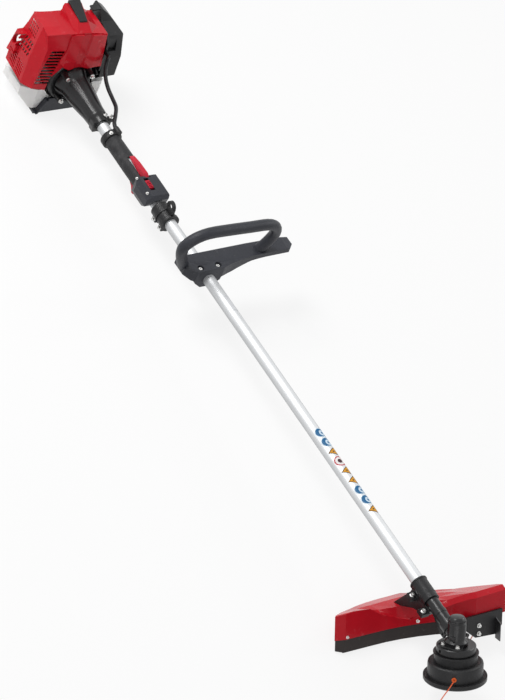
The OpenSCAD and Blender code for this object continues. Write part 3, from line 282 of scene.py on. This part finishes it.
def clear_bulb(name, colour):
    """Soft clear primer dome with a faint fuel tint."""
    f = Finish(name, colour, 0.12, Transmission_Weight=0.6, IOR=1.42)
    tint = f.noise(160, 2).ramp(0.3, 0.8)
    f.set(Base_Color=f.blend(tint, shade(colour, 0.94), colour), Roughness=0.08 + tint * 0.12)
    return f.relief(f.noise(300, 1), 0.00008, 0.4)


def open_foam(name, colour):
    """Open-celled filter foam, its colour painted darker towards each pore's middle as painted shade in
    its depth.
    """
    f = Finish(name, colour, 0.9)
    pore_shade_and_depth = f.cells(900).ramp(0.1, 0.7)
    # painted shade: the colour darkens towards each pore's middle; the same mask also gives the pore bump
    f.set(Base_Color=f.blend(pore_shade_and_depth, shade(colour, 0.4), shade(colour, 1.2)))
    return f.relief(pore_shade_and_depth, 0.0006)


def spun_line(name, colour):
    """Extruded nylon line: translucent sheen with faint lengthwise streaks."""
    f = Finish(name, colour, 0.32, Subsurface_Weight=0.15, Subsurface_Scale=0.004)
    across = f.surface_uv()[1]
    streak = (across * 44.0).wave() * 0.5 + 0.5
    mark = f.noise(240, 3).ramp(0.45, 0.75)
    tone = f.blend(streak * 0.4, colour, shade(colour, 0.82))
    f.set(Base_Color=f.blend(mark * 0.25, tone, lit(colour, 0.25)), Roughness=0.28 + mark * 0.15)
    return f.relief(streak, 0.00005, 0.5)


RED = (0.53, 0.009, 0.019)
FINISHES = {
    "tube_aluminium": drawn_aluminium("tube_aluminium", (0.64, 0.65, 0.66)),
    "red_gloss": gloss_moulding("red_gloss", RED),
    "red_plastic": gloss_moulding("red_plastic", (0.56, 0.022, 0.045), 0.34),
    "graphite_plastic": grained_moulding("graphite_plastic", (0.025, 0.027, 0.035), 0.40),
    "black_plastic": grained_moulding("black_plastic", (0.010, 0.010, 0.011), 0.34),
    "skirt_plastic": grained_moulding("skirt_plastic", (0.022, 0.015, 0.014), 0.44),
    "spool_plastic": grained_moulding("spool_plastic", (0.014, 0.010, 0.010), 0.32),
    "conduit_plastic": grained_moulding("conduit_plastic", (0.010, 0.010, 0.012), 0.34, 900),
    "grip_rubber": soft_rubber("grip_rubber", (0.020, 0.020, 0.022)),
    "black_cast": cast_metal("black_cast", (0.007, 0.007, 0.008), 0.20),
    "cast_aluminium": cast_metal("cast_aluminium", (0.60, 0.61, 0.62), 0.36, 1.0),
    "muffler_steel": cast_metal("muffler_steel", (0.30, 0.28, 0.26), 0.44, 1.0, 0.0002),
    "steel": machined_steel("steel", (0.58, 0.58, 0.60)),
    "screw_steel": machined_steel("screw_steel", (0.74, 0.74, 0.73), 0.22),
    "bushing": cast_metal("bushing", (0.42, 0.30, 0.16), 0.40, 0.9, 0.0001),
    "lining": cast_metal("lining", (0.14, 0.11, 0.09), 0.75),
    "ceramic": gloss_moulding("ceramic", (0.83, 0.82, 0.79), 0.18),
    "foam": open_foam("foam", (0.06, 0.06, 0.065)),
    "clear_bulb": clear_bulb("clear_bulb", (0.88, 0.86, 0.80)),
    "tank_plastic": milky_plastic("tank_plastic", (0.92, 0.91, 0.88)),
    "eyelet_orange": gloss_moulding("eyelet_orange", (0.72, 0.13, 0.03), 0.3),
    "cutter_steel": machined_steel("cutter_steel", (0.10, 0.10, 0.105), 0.34),
    "line_nylon": spun_line("line_nylon", (0.83, 0.13, 0.030)),
}


# ---------------------------------------------------------------- making pieces
def new_piece(name, mesh, body, slot, finish=None):
    """Puts a mesh in the scene as a piece on a body, in its slot's finish or one of its own."""
    piece = bpy.data.objects.new(name, mesh)
    bpy.context.collection.objects.link(piece)
    mesh.materials.clear()
    mesh.materials.append((finish or FINISHES[slot]).material)
    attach(piece, body)
    return piece


def smoothed(mesh, angle):
    """Shades a mesh smooth where its faces meet at less than that many degrees."""
    mesh.shade_smooth()
    mesh.set_sharp_from_angle(angle=math.radians(angle))


def closed_mesh(bm, name, angle=None):
    """The closed mesh that bm holds, its faces turned outward and smoothed up to an angle."""
    bmesh.ops.recalc_face_normals(bm, faces=bm.faces)
    mesh = bpy.data.meshes.new(name)
    bm.to_mesh(mesh)
    bm.free()
    if angle:
        smoothed(mesh, angle)
    return mesh


def turns(count):
    """Angles that share a full turn equally."""
    return [math.tau * k / count for k in range(count)]


def round_edges(piece, width, segments=2):
    """Rounds a piece's edges to a width in millimetres, and gives the modifier that does it."""
    rounding = piece.modifiers.new("rounded edges", "BEVEL")
    rounding.width = width * MM
    rounding.segments = segments
    return rounding


# ---------------------------------------------------------------- trimmer line
LINE_ACROSS = 0.0024    # m
LINE_HEIGHT = -70       # mm, the eyelets' height on the head axis
FRONT_LINE = [(42, -36.5, 0), (49, -43, 0), (58, -55, -.2), (68, -69, -.5), (79, -85, -1),
              (91, -103, -1.7), (104, -122, -2.5), (116, -141, -3.4), (127, -160, -4.4)]
REAR_LINE = [(-42, 36.5, 0), (-49, 44, 0), (-58, 58, -.1), (-68, 75, -.3), (-79, 92, -.6),
             (-92, 109, -1), (-106, 127, -1.5), (-118, 141, -2), (-129, 152, -2.5)]


def rounded(points, steps=3):
    """Points on a smooth curve through the given ones."""
    points = [Vector(p) for p in points]
    ends = [points[0] * 2 - points[1]] + points + [points[-1] * 2 - points[-2]]
    out = []
    for a, b, c, d in zip(ends, ends[1:], ends[2:], ends[3:]):
        for i in range(steps):
            t = i / steps
            out.append((b * 2 + (c - a) * t + (a * 2 - b * 5 + c * 4 - d) * t * t
                        + (b * 3 - a - c * 3 + d) * t ** 3) / 2)
    return out + [points[-1]]


def tube_mesh(name, path, radius, around=10):
    """A round tube along a path, closed at both ends, with a UV map along and round it."""
    bm = bmesh.new()
    uv = bm.loops.layers.uv.new("UVMap")
    side = (path[1] - path[0]).orthogonal().normalized()
    rings = []
    for i, point in enumerate(path):
        along = (path[min(i + 1, len(path) - 1)] - path[max(i - 1, 0)]).normalized()
        side = (side - along * side.dot(along)).normalized()
        other = along.cross(side)
        rings.append([bm.verts.new(point + radius * (side * math.cos(a) + other * math.sin(a)))
                      for a in turns(around)])
    for i in range(len(rings) - 1):
        for k in range(around):
            q = (k + 1) % around
            face = bm.faces.new((rings[i][k], rings[i][q], rings[i + 1][q], rings[i + 1][k]))
            for loop, (u, v) in zip(face.loops, ((i, k), (i, k + 1), (i + 1, k + 1), (i + 1, k))):
                loop[uv].uv = (u / around, v / around)
    bm.faces.new(reversed(rings[0]))
    bm.faces.new(rings[-1])
    return closed_mesh(bm, name, 50)


for node, route in (("line_front", FRONT_LINE), ("line_rear", REAR_LINE)):
    path = [on_head(x, y, z + LINE_HEIGHT) for x, y, z in rounded(route)]
    length = sum((b - a).length for a, b in zip(path, path[1:]))
    line = new_piece(node.replace("line", "nylon_line"), tube_mesh(node, path, LINE_ACROSS / 2),
                     "head", "line_nylon")
    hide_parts(node)


# ---------------------------------------------------------------- the machine's own parts
def prism(bm, corners, far_corners):
    """A closed solid between two outlines of the same number of corners."""
    near = [bm.verts.new(p) for p in corners]
    far = [bm.verts.new(p) for p in far_corners]
    bm.faces.new(near)
    bm.faces.new(reversed(far))
    for k in range(len(near)):
        q = (k + 1) % len(near)
        bm.faces.new((near[q], near[k], far[k], far[q]))


def solid_mesh(name, outlines):
    """One mesh of closed solids, each between its near and its far outline."""
    bm = bmesh.new()
    for near, far in outlines:
        prism(bm, near, far)
    return closed_mesh(bm, name)


def cut_away(mesh, cutter_mesh):
    """The mesh less the cutter."""
    body, cutter = (bpy.data.objects.new("cut", m) for m in (mesh, cutter_mesh))
    for one in (body, cutter):
        bpy.context.collection.objects.link(one)
    cut = body.modifiers.new("cut", "BOOLEAN")
    cut.operation, cut.solver, cut.object = "DIFFERENCE", "EXACT", cutter
    result = bpy.data.meshes.new_from_object(body.evaluated_get(bpy.context.evaluated_depsgraph_get()))
    for one in (body, cutter):
        bpy.data.objects.remove(one)
    return result


def flank_slots(count=11, half_length=19, half_height=3.5, half_depth=7.5):
    """The cooling slots in the cover's front flank, at their full size, in one row down it."""
    set_back = 2.5                  # mm behind the cover's front face
    first_y, first_z = -67, 100
    step_y, step_z = -1.8, -9
    level, slope = 0.990, 0.139     # of a slot's direction, which leans by 8 degrees
    long_way = leftward * level - upward * slope
    high_way = leftward * slope + upward * level
    outlines = []
    for i in range(count):
        middle = at(COVER_FRONT + set_back, first_y + step_y * i, first_z + step_z * i)
        ends = []
        for depth in (-half_depth, half_depth):
            ends.append([middle + (forward * depth + long_way * a + high_way * b) * MM
                         for a, b in ((-half_length, -half_height), (half_length, -half_height),
                                      (half_length, half_height), (-half_length, half_height))])
        outlines.append(ends)
    return solid_mesh("flank_slots", outlines)


JOIN = 0.01     # mm, vertices this near each other are one
FLAT = 0.6      # degrees, faces that meet at less than this are one


def dressed(node, edge=0.6, finish=None, smooth_angle=32, long_edge=12, short=0.5, segments=2,
            crease=20, cutter=None):
    """The part's true shape, its edges rounded as moulded or machined ones are: those longer than
    long_edge by the whole width, and shorter ones, such as a slot's, by a share of it. An edge is
    rounded where it turns by more than crease degrees. A cutter is taken away first."""
    mesh = frame["nodes"][node].data.copy()
    bm = bmesh.new()
    bm.from_mesh(mesh)
    bmesh.ops.remove_doubles(bm, verts=bm.verts, dist=JOIN * MM)
    if cutter:
        bm.to_mesh(mesh)
        mesh = cut_away(mesh, cutter)
        bm.clear()
        bm.from_mesh(mesh)
    bmesh.ops.dissolve_limit(bm, angle_limit=math.radians(FLAT), verts=bm.verts, edges=bm.edges)
    weight = bm.edges.layers.float.new("bevel_weight_edge")
    for one in bm.edges:
        if len(one.link_faces) == 2 and one.calc_face_angle(0) > math.radians(crease):
            one[weight] = 1.0 if one.calc_length() > long_edge * MM else short
    bm.to_mesh(mesh)
    bm.free()
    smoothed(mesh, smooth_angle)
    piece = new_piece(node + "_finished", mesh, body_of_node[node], slot_of_node[node], finish)
    rounding = round_edges(piece, edge, segments)
    rounding.limit_method = "WEIGHT"
    rounding.harden_normals = True
    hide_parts(node)
    return piece


for node in ("gear_housing", "holder_plate", "shaft_cup", "head_hub", "head_drum", "head_cover",
             "bump_knob", "guard_collar", "guard_bracket", "cutter_bracket", "loop_handle",
             "barrier_bar", "handle_clamp", "carrying_eye", "rear_grip", "grip_collar",
             "throttle_housing_left", "throttle_housing_right", "throttle_trigger", "lockout_lever",
             "stop_switch", "throttle_conduit", "clutch_housing", "fan_housing", "cover_insert",
             "filter_base", "filter_cover", "choke_lever", "fuel_tank", "fuel_cap", "engine_stand",
             "starter_housing", "starter_grip"):
    dressed(node, 0.8)
dressed("guard_shell", 2.2, long_edge=20, short=0.4, segments=3, crease=8, smooth_angle=8)
dressed("guard_skirt", 0.6)
dressed("engine_cover", 2.6, long_edge=20, short=0.15, segments=3, crease=12, smooth_angle=10,
        cutter=flank_slots())
dressed("line_cutter", 0.3, FINISHES["cutter_steel"])
dressed("line_eyelets", 0.3, FINISHES["eyelet_orange"])
dressed("shaft_tube", 0.3)


# ---------------------------------------------------------------- what repeats, by Geometry Nodes
class Growth:
    """A Geometry Nodes tree with named inputs. It ends in Realize Instances and Set Material."""

    def __init__(self, name, **inputs):
        self.tree = bpy.data.node_groups.new(name, "GeometryNodeTree")
        self.tree.interface.new_socket("Geometry", in_out="OUTPUT", socket_type="NodeSocketGeometry")
        self.tree.interface.new_socket("Geometry", in_out="INPUT", socket_type="NodeSocketGeometry")
        for input_name, value in inputs.items():
            kind = {int: "NodeSocketInt", float: "NodeSocketFloat"}[type(value)]
            socket = self.tree.interface.new_socket(input_name, in_out="INPUT", socket_type=kind)
            socket.default_value = value
        self.tree.interface.new_socket("Finish", in_out="INPUT", socket_type="NodeSocketMaterial")
        self.entry = self.tree.nodes.new("NodeGroupInput")

    def of(self, name):
        return self.entry.outputs[name]

    def node(self, kind, settings=None, values=None):
        node = self.tree.nodes.new(kind)
        for name, value in (settings or {}).items():
            setattr(node, name, value)
        for name, value in (values or {}).items():
            if isinstance(value, bpy.types.NodeSocket):
                self.tree.links.new(value, node.inputs[name])
            else:
                node.inputs[name].default_value = value
        return node

    def attribute(self, name, kind):
        """What the points carry under that name."""
        return self.node("GeometryNodeInputNamedAttribute", {"data_type": kind},
                         {"Name": name}).outputs[0]

    def math(self, operation, a, b):
        return self.node("ShaderNodeMath", {"operation": operation}, {0: a, 1: b}).outputs[0]

    def joined(self, *geometry):
        node = self.node("GeometryNodeJoinGeometry")
        for one in geometry:
            self.tree.links.new(one, node.inputs[0])
        return node.outputs[0]

    def lifted(self, geometry, height):
        place = self.node("ShaderNodeCombineXYZ", None, {2: height}).outputs[0]
        return self.node("GeometryNodeTransform", None,
                         {"Geometry": geometry, "Translation": place}).outputs[0]

    def end(self, instances):
        realized = self.node("GeometryNodeRealizeInstances", None, {0: instances}).outputs[0]
        painted = self.node("GeometryNodeSetMaterial", None,
                            {"Geometry": realized, "Material": self.of("Finish")})
        leave = self.tree.nodes.new("NodeGroupOutput")
        self.tree.links.new(painted.outputs[0], leave.inputs[0])
        return self.tree


def cylinder_of(growth, sides, radius, depth):
    """An upright cylinder that stands on the origin."""
    node = growth.node("GeometryNodeMeshCylinder", None,
                       {"Vertices": sides, "Radius": radius, "Depth": depth})
    return growth.lifted(node.outputs["Mesh"], growth.math("MULTIPLY", depth, 0.5))


def stood_on_points(growth, thing):
    """The thing on every point, its z axis along the point's axis and scaled by the point's size."""
    turn = growth.node("FunctionNodeAlignRotationToVector", {"axis": "Z"},
                       {"Vector": growth.attribute("axis", "FLOAT_VECTOR")}).outputs[0]
    return growth.node("GeometryNodeInstanceOnPoints", None,
                       {"Points": growth.of("Geometry"), "Instance": thing, "Rotation": turn,
                        "Scale": growth.attribute("size", "FLOAT")}).outputs[0]


SOCKET_FLOOR = 0.45     # share of a screw head's height that is under its socket
WASHER_SHOWS = 0.9      # share of a washer's height that shows under the head


def cap_screw_tree():
    """A round-headed screw with a hexagon socket, on its washer, one on each point."""
    g = Growth("cap screws", **{"Head radius": 0.0042, "Head height": 0.0046, "Socket radius": 0.0022,
                                "Washer radius": 0.0058, "Washer height": 0.0009})
    head = cylinder_of(g, 24, g.of("Head radius"), g.of("Head height"))
    socket = g.lifted(cylinder_of(g, 6, g.of("Socket radius"), g.of("Head height")),
                      g.math("MULTIPLY", g.of("Head height"), SOCKET_FLOOR))
    cut = g.node("GeometryNodeMeshBoolean", {"operation": "DIFFERENCE"},
                 {"Mesh 1": head, "Mesh 2": socket})
    washer = cylinder_of(g, 24, g.of("Washer radius"), g.of("Washer height"))
    on_washer = g.lifted(cut.outputs[0], g.math("MULTIPLY", g.of("Washer height"), WASHER_SHOWS))
    return g.end(stood_on_points(g, g.joined(on_washer, washer)))


def grip_rib_tree():
    """Ribs that stand round a cap or knob, one on each point, along the point's axis."""
    g = Growth("grip ribs", **{"Rib radius": 0.001, "Rib height": 0.01, "Sides": 8})
    rib = cylinder_of(g, g.of("Sides"), g.of("Rib radius"), g.of("Rib height"))
    return g.end(stood_on_points(g, rib))


def grown(name, tree, points, body, slot, **sizes):
    """Grows a tree on points, each a place, an axis and a size, into one plain mesh."""
    mesh = bpy.data.meshes.new(name)
    mesh.from_pydata([p for p, axis, size in points], [], [])
    axes = mesh.attributes.new("axis", "FLOAT_VECTOR", "POINT")
    axes.data.foreach_set("vector", [c for p, axis, size in points for c in axis])
    scales = mesh.attributes.new("size", "FLOAT", "POINT")
    scales.data.foreach_set("value", [size for p, axis, size in points])
    carrier = bpy.data.objects.new(name + "_points", mesh)
    bpy.context.collection.objects.link(carrier)
    modifier = carrier.modifiers.new("growth", "NODES")
    modifier.node_group = tree
    sizes["Finish"] = FINISHES[slot].material
    for socket in tree.interface.items_tree:
        if socket.in_out == "INPUT" and socket.name in sizes:
            modifier[socket.identifier] = sizes[socket.name]
    seen = carrier.evaluated_get(bpy.context.evaluated_depsgraph_get())
    result = bpy.data.meshes.new_from_object(seen)
    result.name = name
    bpy.data.objects.remove(carrier)
    smoothed(result, 40)
    return new_piece(name, result, body, slot)


def ring_band(name, slot, middle, axis, radius, height, thickness, sides=72):
    """A thin rounded band round an axis, such as a seam ring on a casting."""
    side = axis.orthogonal().normalized()
    other = axis.cross(side)
    inner, crown = radius - thickness, radius + thickness / 2
    profile = [(inner, -height / 2), (radius, -height / 2), (crown, -height / 4),
               (crown, height / 4), (radius, height / 2), (inner, height / 2)]
    bm = bmesh.new()
    rings = []
    for a in turns(sides):
        away = side * math.cos(a) + other * math.sin(a)
        rings.append([bm.verts.new(middle + (away * r + axis * h) * MM) for r, h in profile])
    for near, far in zip(rings, rings[1:] + rings[:1]):
        for i in range(len(profile)):
            q = (i + 1) % len(profile)
            bm.faces.new((near[i], far[i], far[q], near[q]))
    return new_piece(name, closed_mesh(bm, name, 50), "machine", slot)


ring_band("gear_housing_seam", "black_cast", on_head(0, 0, 36), head_axis, 19.2, 1.6, 0.7)
ring_band("guard_collar_lip", "black_plastic", at(112, 0, 0), forward, 18.2, 2.0, 0.7)
ring_band("tube_stop_ring", "black_cast", at(1546, 0, 0), forward, 15.0, 2.4, 0.6)

# The skirt's last stretch, past the end of its solid: each corner's x and y and its lower z.
SKIRT_END = [(-172.5, -156, -62), (-179.2, -173.8, -57), (-182.0, -172.0, -57), (-175.5, -155, -62)]
SKIRT_END_TOP = -30
skirt_outlines = ([on_head(x, y, SKIRT_END_TOP) for x, y, z in SKIRT_END],
                  [on_head(x, y, z) for x, y, z in SKIRT_END])
skirt_end = new_piece("skirt_end", solid_mesh("skirt_end", [skirt_outlines]), "machine", "skirt_plastic")
round_edges(skirt_end, 0.8)

cap_screws = cap_screw_tree()
grip_ribs = grip_rib_tree()


def outward(y, z):
    """The direction away from the shaft axis at a place across it."""
    return (leftward * y + upward * z).normalized()


FLANGE_SCREWS_R = 46    # mm from the shaft axis, on the clutch housing's flange
PLATE_TOP = -11         # mm, the holder plate's upper face on the head axis
CAP_MIDDLE = at(1810, 80, -22)
CAP_RIBS_R = 17.8
KNOB_RIBS_R = 28.4
KNOB_RIBS_LOW = -93

# Each screw is a place, the way its head points and its size: over the barrier bar's foot, and on
# the guard bracket and the clutch housing's flange.
machine_screws = [(at(1058, y, 20.5), upward, 1.0) for y in (-23, 23)]
machine_screws += [(at(station, -23, -14), upward, 1.0) for station in (88, 132)]
machine_screws += [(at(1676, FLANGE_SCREWS_R * math.sin(a), FLANGE_SCREWS_R * math.cos(a)), forward, 1.0)
                   for a in (math.radians(d) for d in (45, 135, 225, 315))]
screws = grown("cap_screws", cap_screws, machine_screws, "machine", "screw_steel")
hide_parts("socket_screws")

# On the carrying eye, the clutch housing's nose, the grip's collar and the throttle housing; then on
# the holder plate, the cutter bracket and the guard's shell.
clamp_screws = [(at(station, -13, -21), -leftward, 0.9) for station in (1236, 1264)]
clamp_screws += [(at(1559, 27, 12), upward, 0.95), (at(1561, 9, 19.2), outward(9, 19), 0.95)]
clamp_screws += [(at(1500.5, -9, 22.4), outward(-9, 22), 0.75)]
clamp_screws += [(at(station, -24.6, 25.6), upward * 0.36 - leftward * 0.93, 0.6)
                 for station in (1301, 1350)]
clamp_screws += [(on_head(x, y, PLATE_TOP), head_axis, 0.9) for x, y in ((26, -18), (-6, -30), (-10, 28))]
clamp_screws += [(on_head(-99, 140, z), head_forward, 0.85) for z in (-44, -62)]
clamp_screws += [(on_head(-153.6, 20, -25), head_forward, 0.7),
                 (on_head(-169.2, -150, -27), head_forward, 0.6)]
grown("clamp_screws", cap_screws, clamp_screws, "machine", "screw_steel")

cap_ribs = [(CAP_MIDDLE + (forward * math.cos(a) + leftward * math.sin(a)) * (CAP_RIBS_R * MM),
             upward, 1.0) for a in turns(28)]
knob_ribs = [(on_head(KNOB_RIBS_R * math.cos(a), KNOB_RIBS_R * math.sin(a), KNOB_RIBS_LOW),
              head_axis, 1.0) for a in turns(20)]
grown("tank_cap_ribs", grip_ribs, cap_ribs, "tank_cap", "black_plastic",
      **{"Rib radius": 0.0011, "Rib height": 0.008})
grown("bump_knob_ribs", grip_ribs, knob_ribs, "bump", "spool_plastic",
      **{"Rib radius": 0.0013, "Rib height": 0.005})

# Every solid gets its finish too: the works inside are seen as the solids themselves.
for node, solid in frame["nodes"].items():
    solid.data.materials.clear()
    solid.data.materials.append(FINISHES[slot_of_node[node]].material)


# ---------------------------------------------------------------- labels on the tube
TUBE_R = 14.0
FILM_LIFTS = (0.02, 0.14)   # mm off the tube: a film's under and upper face
FIRST_LABEL = 343           # station of the row's first label
LABEL_STEP = 27.7
RIM_STEPS = 48
RIM_RINGS = 6
FILM_EDGE_UV = (0.02, 0.5)  # where a label's thin edge takes its colour from
LABEL_ORDER = ("triangle", "disc", "disc", "triangle", "triangle", "ring", "triangle", "disc", "disc")


def label_finish(name, paint):
    """A printed film; paint gives its colour from the place on it, -1 to 1 each way, and the
    distance to its middle."""
    f = Finish(name, (1, 1, 1), 0.5, Specular_IOR_Level=0.2)
    u, v = f.surface_uv()
    x, y = u - 0.5, v - 0.5
    distance = (x * x + y * y).root() * 2
    tone = paint(f, x * 2, y * 2, distance)
    grime = f.noise(300, 3).ramp(0.5, 0.8)
    f.set(Base_Color=f.blend(grime * 0.18, tone, (0.45, 0.44, 0.42)), Roughness=0.46 + grime * 0.25)
    return f.relief(f.noise(900, 2), 0.00003, 0.4)


def blue_disc(f, x, y, distance):
    """A blue disc with a pale rim and a pale ring off its middle."""
    face = f.blend(distance < 0.86, (0.70, 0.82, 0.90), (0.022, 0.135, 0.30))
    across, along = x - 0.22, y - 0.12
    reach = (across * across + along * along * 0.7).root()
    return f.blend((reach < 0.50) - (reach < 0.20), face, (0.62, 0.76, 0.88))


def warning_triangle(f, x, y, distance):
    """An orange triangle with a dark border and a dark dot."""
    inside = ((x * -1.0 + 0.42) > 0.0) * ((y.size() * 1.732 - x) < 0.76)
    core = distance < 0.16
    return f.blend(core, f.blend(inside, (0.10, 0.06, 0.03), (0.74, 0.34, 0.025)), (0.05, 0.04, 0.03))


def red_ring(f, x, y, distance):
    """A red ring round a pale disc with a dark middle."""
    face = f.blend(distance < 0.80, (0.52, 0.04, 0.06), (0.86, 0.83, 0.82))
    return f.blend(distance < 0.42, face, (0.055, 0.02, 0.03))


LABELS = {"disc": label_finish("label_blue_disc", blue_disc),
          "triangle": label_finish("label_triangle", warning_triangle),
          "ring": label_finish("label_red_ring", red_ring)}


def on_tube(station, turn, lift):
    """A place that far off the tube's surface, at a turn from its top."""
    return at(station, math.sin(turn) * (TUBE_R + lift), math.cos(turn) * (TUBE_R + lift))


def label_rim(kind):
    """The outline of a label of width 2: a circle, or a triangle with its corners cut round."""
    rim = []
    for a in turns(RIM_STEPS):
        reach = 1.0
        if kind == "triangle":
            from_side = (a + math.pi) % (math.tau / 3) - math.tau / 6
            reach = min(0.98, 0.52 / math.cos(from_side))
        rim.append((reach * math.cos(a), reach * math.sin(a)))
    return rim


def label(name, station, kind, middle=6, size=26.5):
    """A thin film on the tube: a disc or a round-cornered triangle, wrapped to its curve."""
    bm = bmesh.new()
    uv = bm.loops.layers.uv.new("UVMap")
    rim = label_rim(kind)
    spots = {}

    def spot(x, y, lift):
        key = (round(x, 6), round(y, 6), lift)
        if key not in spots:
            turn = math.radians(middle) + x * size / 2 / TUBE_R
            spots[key] = bm.verts.new(on_tube(station - y * size / 2, turn, lift))
        return spots[key]

    for lift in FILM_LIFTS:
        for ring in range(1, RIM_RINGS + 1):
            for k in range(RIM_STEPS):
                q = (k + 1) % RIM_STEPS
                corners = [(rim[j][0] * r / RIM_RINGS, rim[j][1] * r / RIM_RINGS) for j, r in
                           ((k, ring - 1), (k, ring), (q, ring), (q, ring - 1))]
                if ring == 1:
                    corners = corners[:3]
                face = bm.faces.new([spot(x, y, lift) for x, y in corners])
                for loop, (x, y) in zip(face.loops, corners):
                    loop[uv].uv = (x / 2 + 0.5, y / 2 + 0.5)
    under, upper = FILM_LIFTS
    for k in range(RIM_STEPS):
        q = (k + 1) % RIM_STEPS
        face = bm.faces.new([spot(*rim[j], lift) for j, lift in
                             ((k, under), (q, under), (q, upper), (k, upper))])
        for loop in face.loops:
            loop[uv].uv = FILM_EDGE_UV
    return new_piece(name, closed_mesh(bm, name, 50), "machine", "tube_aluminium", LABELS[kind])


def bare_film(f, x, y, distance):
    """A pale film with a slightly darker border at its two ends."""
    return f.blend(y.size() > 0.93, (0.66, 0.67, 0.69), (0.50, 0.51, 0.53))


def rating_film(name, station, length=44, middle=18, wide=62, steps=12):
    """A plain pale film, bare of any printing, wrapped on the tube: its middle and its width are
    degrees round the tube."""
    bm = bmesh.new()
    uv = bm.loops.layers.uv.new("UVMap")
    rows = []
    for lift in FILM_LIFTS:
        rows.append([[bm.verts.new(on_tube(station + length * (e - 0.5),
                                           math.radians(middle + wide * (k / steps - 0.5)), lift))
                      for k in range(steps + 1)] for e in (0, 1)])
    faces = []
    for row in rows:
        for k in range(steps):
            faces.append((row[0][k], row[0][k + 1], row[1][k + 1], row[1][k]))
    for e in (0, 1):
        for k in range(steps):
            faces.append((rows[0][e][k], rows[0][e][k + 1], rows[1][e][k + 1], rows[1][e][k]))
    for k in (0, steps):
        faces.append((rows[0][0][k], rows[0][1][k], rows[1][1][k], rows[1][0][k]))
    for corners in faces:
        for loop, place in zip(bm.faces.new(corners).loops, ((0, 0), (1, 0), (1, 1), (0, 1))):
            loop[uv].uv = place
    return new_piece(name, closed_mesh(bm, name, 50), "machine", "tube_aluminium",
                     label_finish("label_bare", bare_film))


rating_film("bare_label", 957)
for i, kind in enumerate(LABEL_ORDER):
    label(f"tube_label_{i + 1}", FIRST_LABEL + i * LABEL_STEP, kind)


# ---------------------------------------------------------------- floor, backdrop and light
FLOOR_REACH = 40        # m from the middle to each side
FLOOR_LEVEL = -0.0005   # m, just under what stands on it
FLOOR_GLOW = 0.82       # share of plain white that the camera sees in the floor
AMBIENT = 0.36          # the world's strength, except where it is seen itself
LAMPS = {               # place, power in watts and width in metres
    "key": ((-1.9, -1.6, 3.4), 108, 1.5),
    "fill": ((2.8, -2.2, 1.8), 22, 2.0),
    "rim": ((0.2, 3.0, 2.2), 26, 1.4),
}


def plain_floor():
    """A pale paper floor that shows nearly white and keeps the object's shadow."""
    mesh = bpy.data.meshes.new("floor")
    mesh.from_pydata([(x * FLOOR_REACH, y * FLOOR_REACH, FLOOR_LEVEL)
                      for x, y in ((-1, -1), (1, -1), (1, 1), (-1, 1))], [], [(0, 1, 2, 3)])
    floor = bpy.data.objects.new("floor", mesh)
    bpy.context.collection.objects.link(floor)
    f = Finish("floor_paper", (0.86, 0.86, 0.86), 0.9, Specular_IOR_Level=0.0)
    light_path = f.node("ShaderNodeLightPath")
    camera_ray, glossy_ray = (Number(f, light_path.outputs[kind])
                              for kind in ("Is Camera Ray", "Is Glossy Ray"))
    seen = camera_ray.work("MAXIMUM", camera_ray, glossy_ray)
    glow = f.node("ShaderNodeEmission", None, {"Color": (1, 1, 1), "Strength": 1.0})
    mix = f.node("ShaderNodeMixShader", None,
                 {0: seen * FLOOR_GLOW, 1: f.shader.outputs[0], 2: glow.outputs[0]})
    f.tree.links.new(mix.outputs[0], f.tree.nodes["Material Output"].inputs["Surface"])
    mesh.materials.append(f.material)


def studio_light():
    """A soft plain world, white where it is seen, and three large lamps."""
    world = bpy.data.worlds.new("studio")
    bpy.context.scene.world = world
    world.use_nodes = True
    tree = world.node_tree
    light_path = tree.nodes.new("ShaderNodeLightPath")
    seen = light_path.outputs["Is Camera Ray"]
    for other in ("Is Glossy Ray", "Is Transmission Ray"):
        either = tree.nodes.new("ShaderNodeMath")
        either.operation = "MAXIMUM"
        tree.links.new(seen, either.inputs[0])
        tree.links.new(light_path.outputs[other], either.inputs[1])
        seen = either.outputs[0]
    strength = tree.nodes.new("ShaderNodeMapRange")
    strength.inputs["To Min"].default_value = AMBIENT
    strength.inputs["To Max"].default_value = 1.0
    tree.links.new(seen, strength.inputs["Value"])
    tree.links.new(strength.outputs["Result"], tree.nodes["Background"].inputs["Strength"])
    tree.nodes["Background"].inputs["Color"].default_value = (1, 1, 1, 1)
    for name, (place, power, width) in LAMPS.items():
        lamp = bpy.data.lights.new(name, "AREA")
        lamp.energy = power
        lamp.size = width
        lamp_object = bpy.data.objects.new(name, lamp)
        aim = (-Vector(place)).to_track_quat("-Z", "Y").to_matrix().to_4x4()
        lamp_object.matrix_world = Matrix.Translation(place) @ aim
        bpy.context.collection.objects.link(lamp_object)


plain_floor()
studio_light()
